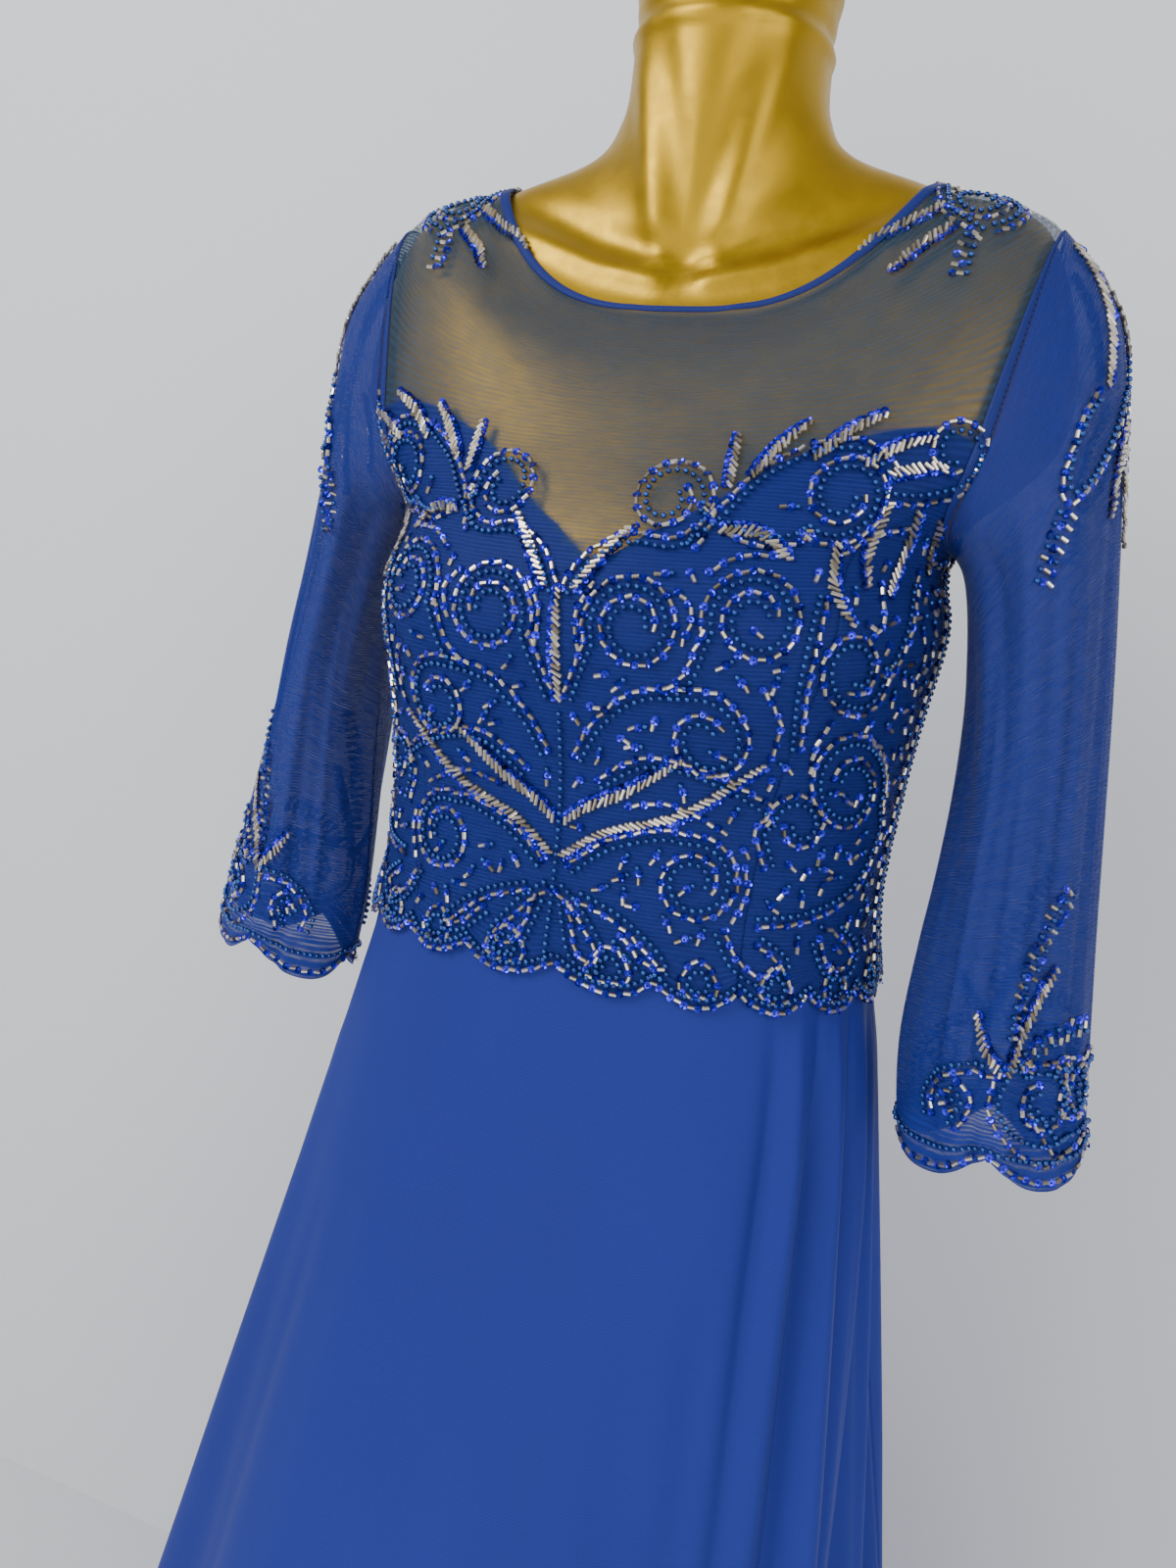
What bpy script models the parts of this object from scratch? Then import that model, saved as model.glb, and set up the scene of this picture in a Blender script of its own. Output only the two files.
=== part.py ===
"""Maxi dress with a sheer yoke and sleeves, on a limbless dress form and its stand.

Metres, +Z up. The front of the dress faces -Y and the wearer's left is +X. The origin is
on the floor under the middle of the stand.

A place on the torso is given by a level, which counts the rows of FORM_ROWS from the
bottom edge up, and a turn in degrees, which is 0 at the centre front, 90 at the wearer's
left side and 180 at the centre back. Each cloth layer is the form's own surface moved out.
"""

import math

import bmesh
import bpy
from mathutils import Matrix, Vector

# Cloth walls, layers and seams
NET_WALL = 0.0012
LINING_WALL = 0.0011
CREPE_WALL = 0.0014
BINDING_WALL = 0.0012
LAYER_GAP = 0.0008
TOUCH_GAP = 0.0003
WAIST_GAP = 0.0009
SEAM_TURN = 0.18
NUDGE = 0.002
ZIP_SEAM_GAPS = 2.2

# Heights and levels that the pieces share
WAIST_SEAM_Z = 1.0565
HEM_Z = 0.020
BODICE_HEM_LEVEL = 2.98
ARMPIT_LEVEL = 8.0
SHOULDER_LEVEL = 10.0
NECKLINE_LEVEL = 11.0
SCALLOP_DROP = 0.24
SCALLOP_COLUMNS = 4
ARMHOLE_TURN = 34.0
ARMHOLE_STEPS = 8
CUSP_SHARPNESS = 0.8
BINDING_ROWS = 0.33

# Stand
BASE_RADIUS = 0.170
BASE_THICKNESS = 0.008
POLE_RADIUS = 0.0125
POLE_SOCKET_DEPTH = 0.080
# foot of the pole: how far out, height
POLE_FOOT = ((0.0, 0.012), (0.015, 0.008), (0.022, 0.0))
EDGE_ROUND = 0.003
COLLAR_RADIUS = 0.032
COLLAR_HEIGHT = 0.020
COLLAR_NECK = 0.62
COLLAR_RIM = 0.4
FORM_BOTTOM_Z = 0.870

# Zip
ZIP_TAPE_WIDTH = 0.020
ZIP_TAPE_WALL = 0.0010
ZIP_LOW_ROW = 2
ZIP_SLIDER_LEVEL = 10.70
ZIP_SLIDER_ROW = 18.04
SLIDER_SIZE = (0.0060, 0.0022, 0.0090)
PULL_SIZE = (0.0045, 0.0012, 0.0170)
PULL_PIVOT_UP = 0.0030
SLIDER_GAP = 0.0005
METAL_ROUND = 0.22

# Outline of the dress form, from the bottom edge to the top of the neck
# name, front y, front z, side x, side y, side z, back y, back z, squareness, side rise
FORM_ROWS = (
    ("bottom", -0.098, 0.870, 0.158, 0.004, 0.870, 0.112, 0.870, 2.3, 2.0),
    ("hip", -0.099, 0.930, 0.157, 0.004, 0.930, 0.113, 0.930, 2.3, 2.0),
    ("high_hip", -0.099, 0.990, 0.150, 0.002, 0.990, 0.104, 0.990, 2.3, 2.0),
    ("low_waist", -0.098, 1.035, 0.143, 0.000, 1.035, 0.092, 1.035, 2.3, 2.0),
    ("waist", -0.098, 1.080, 0.139, 0.000, 1.080, 0.082, 1.085, 2.3, 2.0),
    ("ribs", -0.100, 1.130, 0.142, 0.000, 1.132, 0.080, 1.140, 2.3, 2.0),
    ("under_bust", -0.104, 1.170, 0.147, 0.000, 1.180, 0.084, 1.190, 2.3, 2.0),
    ("bust", -0.107, 1.210, 0.153, 0.002, 1.225, 0.090, 1.238, 2.3, 2.0),
    ("armpit", -0.101, 1.253, 0.151, 0.006, 1.268, 0.095, 1.290, 2.2, 1.9),
    ("chest", -0.081, 1.302, 0.203, 0.010, 1.332, 0.096, 1.345, 1.9, 1.8),
    ("shoulder", -0.061, 1.344, 0.181, 0.013, 1.427, 0.088, 1.398, 2.2, 2.0),
    ("neckline", -0.041, 1.374, 0.120, 0.013, 1.451, 0.072, 1.430, 2.6, 2.4),
    ("neck_base", -0.032, 1.404, 0.073, 0.013, 1.469, 0.064, 1.455, 2.4, 2.2),
    ("neck_low", -0.034, 1.440, 0.0575, 0.013, 1.490, 0.060, 1.478, 2.2, 2.0),
    ("neck_mid", -0.039, 1.488, 0.0540, 0.013, 1.515, 0.059, 1.511, 2.1, 1.8),
    ("neck_high", -0.043, 1.530, 0.0540, 0.012, 1.540, 0.061, 1.540, 2.1, 1.8),
    ("neck_top", -0.044, 1.553, 0.0550, 0.011, 1.556, 0.061, 1.556, 2.1, 1.8),
    ("neck_lid", -0.030, 1.563, 0.0400, 0.010, 1.564, 0.047, 1.564, 2.0, 1.8),
)

# Bust cups: place round the form and its spread in degrees, height and half height,
# how far they rise, and the shares of that which go forward and outward
BUST = {"turn": 38.0, "spread": 24.0, "z": 1.205, "half_height": 0.048, "rise": 0.013}
BUST_FORWARD = 0.92
BUST_OUTWARD = 0.38

# Room between the form and the inner face of the net
# level, room
NET_ROOM = (
    (2.0, 0.0100),
    (3.2, 0.0065),
    (4.0, 0.0052),
    (6.0, 0.0050),
    (8.0, 0.0046),
    (9.0, 0.0045),
    (10.0, 0.0045),
    (10.6, 0.0034),
)
SHOULDER_ROOM = 0.0012
# where the shoulder seam begins and ends: levels, and shares of the way to the side
SHOULDER_LEVELS = (9.95, 10.3)
SHOULDER_SIDES = (0.94, 0.985)
BRIDGE = {"rise": 0.007, "spread": 17.0, "level": 7.1, "half_height": 1.3}

# Turn of the princess seam along the rows of the front bodice
PRINCESS_TURNS = (36.0, 36.3, 37.0, 38.0, 39.5, 41.0, 42.5, 44.5, 48.0, 52.0, 55.5, 57.6)

# Top edge of the opaque lining, as a row number, at even steps from centre to armhole
LINING_TOP_FRONT = (7.45, 9.2, 11.0, 11.9, 12.1, 11.7)
LINING_TOP_BACK = (11.3, 11.4, 11.6, 11.8, 11.8, 11.7)
LINING_COLUMNS = {"front": 24, "back": 11}
LINING_ROWS = 13
BACK_HALF_WIDTH = 0.150

# Skirt
# z, half width, front depth, back depth, centre x, squareness
SKIRT_ROWS = (
    (1.0562, 0.1441, 0.1020, 0.0905, 0.000, 2.3),
    (1.0200, 0.1492, 0.1030, 0.1000, 0.000, 2.3),
    (0.9900, 0.1555, 0.1060, 0.1090, 0.000, 2.3),
    (0.9500, 0.1625, 0.1110, 0.1180, -0.001, 2.3),
    (0.8700, 0.1770, 0.1270, 0.1340, -0.004, 2.2),
    (0.7600, 0.1960, 0.1490, 0.1560, -0.008, 2.2),
    (0.6340, 0.2180, 0.1760, 0.1850, -0.014, 2.1),
    (0.4500, 0.2520, 0.2120, 0.2240, -0.020, 2.1),
    (0.2400, 0.2920, 0.2480, 0.2640, -0.027, 2.1),
    (0.0200, 0.3330, 0.2830, 0.3020, -0.034, 2.1),
)

# Folds of the skirt: turn at the waist seam and at the hem, start height,
# half width in degrees at the hem, depth at the hem (troughs are negative)
SKIRT_FOLDS = (
    (8.0, 12.0, 0.86, 9.0, 0.013),
    (24.0, 27.0, 0.80, 8.0, -0.012),
    (60.0, 39.0, 1.00, 4.5, -0.016),
    (74.0, 49.0, 1.00, 5.0, 0.020),
    (86.0, 58.0, 1.03, 4.0, -0.034),
    (90.0, 67.0, 1.03, 4.5, 0.024),
    (95.0, 76.0, 1.02, 4.0, -0.030),
    (99.0, 85.0, 1.02, 4.5, 0.022),
    (106.0, 95.0, 1.00, 5.0, -0.026),
    (116.0, 108.0, 0.99, 6.0, 0.022),
    (128.0, 122.0, 0.98, 6.0, -0.026),
    (143.0, 138.0, 0.96, 7.5, 0.022),
    (158.0, 155.0, 0.94, 7.0, -0.022),
    (178.0, 176.0, 0.92, 8.0, 0.016),
    (-16.0, -13.0, 0.84, 8.0, -0.013),
    (-34.0, -32.0, 0.82, 9.0, 0.015),
    (-52.0, -46.0, 0.90, 5.5, -0.014),
    (-62.0, -58.0, 1.01, 6.0, 0.022),
    (-76.0, -70.0, 1.03, 4.5, -0.036),
    (-88.0, -84.0, 1.03, 5.5, 0.030),
    (-98.0, -97.0, 1.02, 5.0, -0.032),
    (-109.0, -110.0, 1.00, 6.0, 0.024),
    (-122.0, -124.0, 0.98, 6.0, -0.026),
    (-138.0, -140.0, 0.96, 7.5, 0.022),
    (-156.0, -158.0, 0.94, 7.0, -0.022),
)
SKIRT_COLUMNS = 44
# heights of the skirt's rows, and how its columns crowd towards the sides and the back
SKIRT_HEIGHTS = (WAIST_SEAM_Z, 1.038, 1.015, 0.985, 0.940, 0.870, 0.770, 0.640, 0.460, 0.240, HEM_Z)
SKIRT_CROWDING = (0.132, 0.088)

# Sleeve sections from the armhole to the cuff; the wearer's right one hangs flatter
# outer x, outer z, inner x, inner z, centre y, half depth, share of armhole shape,
# how far the right sleeve's outer side comes in, how far it is lifted
SLEEVE_ROWS = (
    (0.1840, 1.4300, 0.1570, 1.2690, 0.009, 0.049, 1.00, 0.000, 0.000),
    (0.2030, 1.4100, 0.1625, 1.2600, 0.008, 0.053, 0.72, 0.005, 0.000),
    (0.2190, 1.3830, 0.1660, 1.2480, 0.006, 0.055, 0.40, 0.009, 0.001),
    (0.2280, 1.3450, 0.1690, 1.2320, 0.004, 0.056, 0.15, 0.014, 0.002),
    (0.2335, 1.3000, 0.1720, 1.2100, 0.002, 0.056, 0.00, 0.020, 0.003),
    (0.2390, 1.2470, 0.1755, 1.1800, 0.000, 0.055, 0.00, 0.020, 0.004),
    (0.2445, 1.1930, 0.1775, 1.1430, -0.003, 0.053, 0.00, 0.017, 0.006),
    (0.2495, 1.1390, 0.1765, 1.1040, -0.006, 0.051, 0.00, 0.013, 0.008),
    (0.2545, 1.0850, 0.1735, 1.0620, -0.009, 0.048, 0.00, 0.008, 0.010),
    (0.2600, 1.0320, 0.1715, 1.0180, -0.012, 0.045, 0.00, 0.004, 0.013),
    (0.2650, 0.9880, 0.1735, 0.9800, -0.014, 0.042, 0.00, 0.001, 0.015),
    (0.2680, 0.9650, 0.1765, 0.9580, -0.015, 0.040, 0.00, 0.000, 0.016),
)
CUFF_DROP = 0.010
RIGHT_CUFF_TILT = 1.7
# Lengthwise folds of a sleeve: place round it in degrees from the armpit, depth
SLEEVE_FOLDS = ((50.0, -0.0040), (128.0, -0.0035), (232.0, -0.0040), (312.0, -0.0030))
SLEEVE_FOLD_HALF_WIDTH = 20.0

# Colours: red, green, blue, roughness, metallic
NET_BLUE = (0.020, 0.050, 0.240, 0.75, 0.0)
LINING_BLUE = (0.018, 0.045, 0.230, 0.60, 0.0)
CREPE_BLUE = (0.026, 0.065, 0.330, 0.80, 0.0)
FORM_GOLD = (0.500, 0.330, 0.045, 0.35, 0.8)
STEEL = (0.550, 0.550, 0.560, 0.30, 1.0)
ZIP_BLUE = (0.020, 0.045, 0.220, 0.50, 0.0)


def smooth(low, high, value):
    """Ease from 0 at low to 1 at high."""
    t = min(max((value - low) / (high - low), 0.0), 1.0)
    return t * t * (3.0 - 2.0 * t)


def bell(value, centre, half_width):
    """A soft hump of height 1 at the centre."""
    return math.exp(-((value - centre) / half_width) ** 2)


def spline(values, place):
    """Read a smooth curve through evenly spaced values."""
    last = len(values) - 1
    k = min(max(int(math.floor(place)), 0), last - 1)
    t = place - k
    a = values[max(k - 1, 0)]
    b = values[k]
    c = values[k + 1]
    d = values[min(k + 2, last)]
    return b + 0.5 * t * (c - a + t * (2 * a - 5 * b + 4 * c - d + t * (3 * (b - c) + d - a)))


def table(rows, key):
    """Read the columns of a table at a key between its rows, whose keys rise or fall."""
    sign = 1.0 if rows[-1][0] > rows[0][0] else -1.0
    if sign * key <= sign * rows[0][0]:
        return rows[0][1:]
    for low, high in zip(rows, rows[1:]):
        if sign * key <= sign * high[0]:
            t = (key - low[0]) / (high[0] - low[0])
            return [a + (b - a) * t for a, b in zip(low[1:], high[1:])]
    return rows[-1][1:]


def ring_point(size, turn):
    """A point on a rounded ring, from its front, side and back ends."""
    front_y, front_z, side_x, side_y, side_z, back_y, back_z, square, rise = size
    across = math.sin(math.radians(turn))
    along = math.cos(math.radians(turn))
    end_y, end_z = (front_y, front_z) if along > 0.0 else (back_y, back_z)
    x = math.copysign(side_x * abs(across) ** (2.0 / square), across)
    y = side_y + (end_y - side_y) * abs(along) ** (2.0 / square)
    z = end_z + (side_z - end_z) * abs(across) ** rise
    return Vector((x, y, z))


FORM_COLUMNS = tuple(zip(*[row[1:] for row in FORM_ROWS]))


def form_point(level, turn):
    """A point on the dress form."""
    point = ring_point([spline(column, level) for column in FORM_COLUMNS], turn)
    cup = BUST["rise"] * bell(abs(turn), BUST["turn"], BUST["spread"])
    cup *= bell(point.z, BUST["z"], BUST["half_height"])
    point.y -= BUST_FORWARD * cup
    point.x += math.copysign(BUST_OUTWARD * cup, turn)
    return point


def form_normal(level, turn):
    """The outward direction of the form's surface."""
    round_it = form_point(level, turn + 1.0) - form_point(level, turn - 1.0)
    up = form_point(level + 0.05, turn) - form_point(level - 0.05, turn)
    return round_it.cross(up).normalized()


def net_room(level, turn):
    """Room between the form and the inner face of the net."""
    side = abs(math.sin(math.radians(turn)))
    room = table(NET_ROOM, level)[0]
    on_shoulder = smooth(*SHOULDER_LEVELS, level) * smooth(*SHOULDER_SIDES, side)
    room += (SHOULDER_ROOM - room) * on_shoulder
    if abs(turn) < 90.0:
        bridge = bell(turn, 0.0, BRIDGE["spread"])
        room += BRIDGE["rise"] * bridge * bell(level, BRIDGE["level"], BRIDGE["half_height"])
    return room


def cloth_point(level, turn, rise=0.0):
    """A point on the bodice; a rise of 0 is the inner face of the net."""
    return form_point(level, turn) + form_normal(level, turn) * (net_room(level, turn) + rise)


# Rows of the bodice: level at the centre, level at the side or armhole, armhole inset
def bodice_rows():
    rows = [(level, level, 0.0) for level in (BODICE_HEM_LEVEL, 3.5, 4.2, 4.9, 5.6, 6.2, 6.8, 7.4)]
    for step in range(ARMHOLE_STEPS + 1):
        angle = math.pi * step / ARMHOLE_STEPS
        even = ARMPIT_LEVEL + (SHOULDER_LEVEL - ARMPIT_LEVEL) * step / ARMHOLE_STEPS
        middle = (ARMPIT_LEVEL + SHOULDER_LEVEL) / 2.0
        rows.append((even, middle - math.cos(angle), ARMHOLE_TURN * math.sin(angle)))
    for level in (10.33, 10.67, NECKLINE_LEVEL):
        rows.append((level, level, 0.0))
    return rows


BODICE_ROWS = bodice_rows()
ARMPIT_ROW = 8
SHOULDER_ROW = ARMPIT_ROW + ARMHOLE_STEPS
TOP_ROW = len(BODICE_ROWS) - 1
PRINCESS_TOP_ROW = len(PRINCESS_TURNS) - 1


def row_point(row, share, back, rise, drop=0.0):
    """A point on a bodice row: share is 0 at the centre and 1 at the side or armhole,
    and negative on the wearer's right."""
    centre_level, side_level, inset = BODICE_ROWS[row]
    reach = 90.0 - inset
    turn = (180.0 - abs(share) * reach) if back else abs(share) * reach
    level = centre_level + (side_level - centre_level) * share * share - drop
    point = cloth_point(level, turn, rise)
    if share < 0.0:
        point.x = -point.x
    return point


def princess_share(row):
    """Where the princess seam crosses a row of the front bodice."""
    if row > PRINCESS_TOP_ROW:
        return 1.0
    return PRINCESS_TURNS[row] / (90.0 - BODICE_ROWS[row][2])


def seam_share(row):
    """Half a seam's gap as a share of a row."""
    return 0.5 * SEAM_TURN / (90.0 - BODICE_ROWS[row][2])


def scallop(column):
    """How far the scalloped edge drops at a column, from 0 at a cusp to 1."""
    part = (column % SCALLOP_COLUMNS) / SCALLOP_COLUMNS
    return math.sin(math.pi * part) ** CUSP_SHARPNESS


# Columns of each bodice panel, with its left and right edges as shares of a row
def panel_edges(panel, row):
    gap = seam_share(row)
    if panel == "centre_front":
        edge = princess_share(row) - gap
        return -edge, edge
    if panel == "side_front":
        return princess_share(row) + gap, 1.0 - gap * (BODICE_ROWS[row][2] == 0.0)
    if panel == "back":
        return 1.0 - gap * (BODICE_ROWS[row][2] == 0.0), ZIP_SEAM_GAPS * gap
    raise ValueError(panel)


PANEL_COLUMNS = {"centre_front": 16, "side_front": 12, "back": 20}


def panel_point(panel, row, column, rise, drop=0.0):
    left, right = panel_edges(panel, row)
    share = left + (right - left) * column / PANEL_COLUMNS[panel]
    return row_point(row, share, panel == "back", rise, drop)


def on_panel(panel, row, column, rise):
    """A point on a panel's flat facets, between its rows and columns."""
    low_row = min(int(math.floor(row)), TOP_ROW - 1)
    low_column = min(int(math.floor(column)), PANEL_COLUMNS[panel] - 1)
    up = row - low_row
    along = column - low_column
    a = panel_point(panel, low_row, low_column, rise)
    b = panel_point(panel, low_row, low_column + 1, rise)
    c = panel_point(panel, low_row + 1, low_column, rise)
    d = panel_point(panel, low_row + 1, low_column + 1, rise)
    return a.lerp(b, along).lerp(c.lerp(d, along), up)


def material(name, look):
    """A plain Principled material."""
    made = bpy.data.materials.get(name) or bpy.data.materials.new(name)
    made.use_nodes = True
    shader = made.node_tree.nodes["Principled BSDF"]
    shader.inputs["Base Color"].default_value = (*look[:3], 1.0)
    shader.inputs["Roughness"].default_value = look[3]
    shader.inputs["Metallic"].default_value = look[4]
    made.diffuse_color = (*look[:3], 1.0)
    return made


def keep(name, mesh, look, collection):
    """Put a mesh in the scene under a name, with its own material."""
    thing = bpy.data.objects.new(name, mesh)
    thing.data.materials.append(material(name + "_finish", look))
    collection.objects.link(thing)
    return thing


def grid(columns, rows, place, mirror=False):
    """A grid moved into place; its columns run round and its rows run up."""
    made = bmesh.new()
    bmesh.ops.create_grid(made, x_segments=columns, y_segments=rows, size=0.5)
    for vert in made.verts:
        column = round((vert.co.x + 0.5) * columns)
        row = round((vert.co.y + 0.5) * rows)
        vert.co = place(column, row)
        if mirror:
            vert.co.x = -vert.co.x
    bmesh.ops.remove_doubles(made, verts=made.verts, dist=0.00001)
    bmesh.ops.dissolve_degenerate(made, edges=made.edges, dist=0.00001)
    if mirror:
        bmesh.ops.reverse_faces(made, faces=made.faces)
    mesh = bpy.data.meshes.new("grid")
    made.to_mesh(mesh)
    made.free()
    mesh.shade_smooth()
    return mesh


def cloth(name, mesh, wall, look, collection, side=1.0):
    """An open surface made a wall, thickened outwards, or inwards with a side of -1."""
    thing = keep(name, mesh, look, collection)
    thicken = thing.modifiers.new("wall", "SOLIDIFY")
    thicken.thickness = wall
    thicken.offset = side
    return thing


# Bodice of net
def build_bodice(collection):
    def panel(name, kind, top_row, mirror):
        def place(column, row):
            drop = SCALLOP_DROP * scallop(column) if row == 0 else 0.0
            return panel_point(kind, row, column, 0.0, drop)

        mesh = grid(PANEL_COLUMNS[kind], top_row, place, mirror)
        cloth(name, mesh, NET_WALL, NET_BLUE, collection)

    panel("bodice_centre_front", "centre_front", TOP_ROW, False)
    panel("bodice_side_front_left", "side_front", PRINCESS_TOP_ROW, False)
    panel("bodice_side_front_right", "side_front", PRINCESS_TOP_ROW, True)
    panel("bodice_back_left", "back", TOP_ROW, False)
    panel("bodice_back_right", "back", TOP_ROW, True)


# Lining of the bodice, with its V top under the net
def lining_point(row, share, back, rise):
    """A point of the lining, on the flat facets between two bodice rows."""
    low = min(int(math.floor(row)), TOP_ROW - 1)
    return row_point(low, share, back, rise).lerp(row_point(low + 1, share, back, rise), row - low)


def lining_top(share, back):
    """Row number of the lining's top edge."""
    return spline(LINING_TOP_BACK if back else LINING_TOP_FRONT, abs(share) * 5.0)


def waist_row(share, back):
    """Row number at which the lining meets the skirt."""
    top_z = row_point(1, share, back, 0.0).z
    above_z = row_point(2, share, back, 0.0).z
    return 1.0 + (WAIST_SEAM_Z + WAIST_GAP - top_z) / (above_z - top_z)


def build_lining(collection):
    rise = -(LAYER_GAP + LINING_WALL)
    seam = 0.5 * SEAM_TURN / 90.0

    def place_at(share, row, back):
        start = waist_row(share, back)
        goal = max(start, row + 1.0) if row > 0 else start
        return lining_point(min(goal, lining_top(share, back)), share, back, rise)

    def front(column, row):
        share = 2.0 * column / LINING_COLUMNS["front"] - 1.0
        return place_at((1.0 - seam) * share, row, False)

    def back(column, row):
        zip_edge = (ZIP_TAPE_WIDTH / 2.0 + TOUCH_GAP) / BACK_HALF_WIDTH
        side = 1.0 - seam
        return place_at(side + (zip_edge - side) * column / LINING_COLUMNS["back"], row, True)

    for name, side, place, mirror in (
        ("lining_front", "front", front, False),
        ("lining_back_left", "back", back, False),
        ("lining_back_right", "back", back, True),
    ):
        mesh = grid(LINING_COLUMNS[side], LINING_ROWS, place, mirror)
        cloth(name, mesh, LINING_WALL, LINING_BLUE, collection)


# Neck binding, a folded strip on the edge of the neckline
def build_neck_binding(collection):
    front_columns = PANEL_COLUMNS["centre_front"]
    back_columns = PANEL_COLUMNS["back"]
    rise = NET_WALL + TOUCH_GAP

    def place(column, row):
        height = TOP_ROW - BINDING_ROWS * (1 - row)
        if column <= back_columns:
            point = on_panel("back", height, back_columns - column, rise)
            point.x = -point.x
            return point
        column -= back_columns + 1
        if column <= front_columns:
            return on_panel("centre_front", height, column, rise)
        return on_panel("back", height, column - front_columns - 1, rise)

    columns = 2 * back_columns + front_columns + 2
    cloth("neck_binding", grid(columns, 1, place), BINDING_WALL, NET_BLUE, collection)


# Sleeves
def armhole_point(step, back, rise):
    """A point on the edge of the armhole, counted from the armpit up."""
    return row_point(ARMPIT_ROW + step, 1.0, back, rise)


def sleeve_section(size, angle):
    """A point of a sleeve section; the angle is 0 at the armpit side and 90 in front."""
    outer_x, outer_z, inner_x, inner_z, centre_y, half_depth = size
    swing = math.cos(math.radians(angle))
    x = (outer_x + inner_x) / 2.0 - (outer_x - inner_x) / 2.0 * swing
    z = (outer_z + inner_z) / 2.0 - (outer_z - inner_z) / 2.0 * swing
    y = centre_y - half_depth * math.sin(math.radians(angle))
    return Vector((x, y, z))


def sleeve_fold(angle, row):
    """Depth of the lengthwise folds."""
    depth = 0.0
    for place, amount in SLEEVE_FOLDS:
        depth += amount * bell(angle, place, SLEEVE_FOLD_HALF_WIDTH)
    return depth * smooth(1.0, 4.0, row)


def sleeve_size(number, right):
    """The section at a row of SLEEVE_ROWS, for the left or the right sleeve."""
    outer_x, outer_z, inner_x, inner_z, centre_y, half_depth, _, pull_in, lift = SLEEVE_ROWS[number]
    if right:
        outer_x -= pull_in
        outer_z += RIGHT_CUFF_TILT * lift
        inner_z += lift
    return outer_x, outer_z, inner_x, inner_z, centre_y, half_depth


def build_sleeves(collection):
    columns = 2 * ARMHOLE_STEPS
    last = len(SLEEVE_ROWS) - 1
    rise = 2.0 * NET_WALL + TOUCH_GAP

    def sleeve_point(column, row, right):
        angle = 360.0 * column / columns
        step = column if column <= ARMHOLE_STEPS else columns - column
        edge = armhole_point(step, column > ARMHOLE_STEPS, rise)
        number = last - row
        size = sleeve_size(number, right)
        share = SLEEVE_ROWS[number][6]
        point = sleeve_section(size, angle)
        middle = sleeve_section(size, 0.0).lerp(sleeve_section(size, 180.0), 0.5)
        out = (point - middle).normalized()
        point += out * sleeve_fold(angle, number)
        point += (edge - sleeve_section(sleeve_size(0, right), angle)) * share
        if number == last:
            point.z -= CUFF_DROP * scallop(column)
        return point

    for name, right in (("sleeve_left", False), ("sleeve_right", True)):
        mesh = grid(columns, last, lambda column, row: sleeve_point(column, row, right), right)
        cloth(name, mesh, NET_WALL, NET_BLUE, collection, -1.0)


# Skirt
def skirt_fold(z, turn):
    """Depth of the skirt's folds at a height and a turn."""
    depth = 0.0
    for top_turn, hem_turn, start_z, half_width, amount in SKIRT_FOLDS:
        if z >= start_z:
            continue
        fall = (start_z - z) / (start_z - HEM_Z)
        centre = top_turn + (hem_turn - top_turn) * (1.0 - (1.0 - fall) ** 2)
        gap = (turn - centre + 180.0) % 360.0 - 180.0
        depth += amount * fall ** 0.85 * bell(gap, 0.0, half_width * (1.15 - 0.15 * fall))
    return depth


def skirt_point(z, turn):
    """A point on the inner face of the skirt."""
    half_width, front, back, centre_x, square = table(SKIRT_ROWS, z)
    size = (-front, z, half_width, 0.0, z, back, z, square, 2.0)
    point = ring_point(size, turn)
    out = Vector((math.sin(math.radians(turn)), -math.cos(math.radians(turn)), 0.0))
    point += out * skirt_fold(z, turn)
    point.x += centre_x
    return point


def build_skirt(collection):
    rows = len(SKIRT_HEIGHTS) - 1
    even_crowd, back_crowd = SKIRT_CROWDING

    def spread(part):
        even = 2.0 * math.pi * part
        crowd = even_crowd + back_crowd * math.cos(even)
        return math.degrees(even + crowd * math.sin(2.0 * even))

    def panel(name, first, last, columns):
        def place(column, row):
            part = first + (last - first) * column / columns
            turn = spread(part)
            if column == 0:
                turn += 0.5 * SEAM_TURN
            if column == columns:
                turn -= 0.5 * SEAM_TURN
            return skirt_point(SKIRT_HEIGHTS[rows - row], turn)

        cloth(name, grid(columns, rows, place), CREPE_WALL, CREPE_BLUE, collection)

    panel("skirt_front", -0.25, 0.25, SKIRT_COLUMNS)
    panel("skirt_back_left", 0.25, 0.50, SKIRT_COLUMNS // 2)
    panel("skirt_back_right", -0.50, -0.25, SKIRT_COLUMNS // 2)


# Dress form and stand
FORM_COLUMNS_ROUND = 40
FORM_MIDDLE_Y = 0.008
FORM_LEVELS = (
    (0.0, 0.0, 1.0, 2.0, 3.0, 4.0, 5.0, 6.0, 7.0, 7.5, 8.0, 8.4, 8.8, 9.1, 9.5)
    + (10.0, 10.33, 10.67, 11.0, 11.5, 12.0, 12.5, 13.0, 14.0, 15.0, 16.0, 17.0, 17.0)
)


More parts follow.
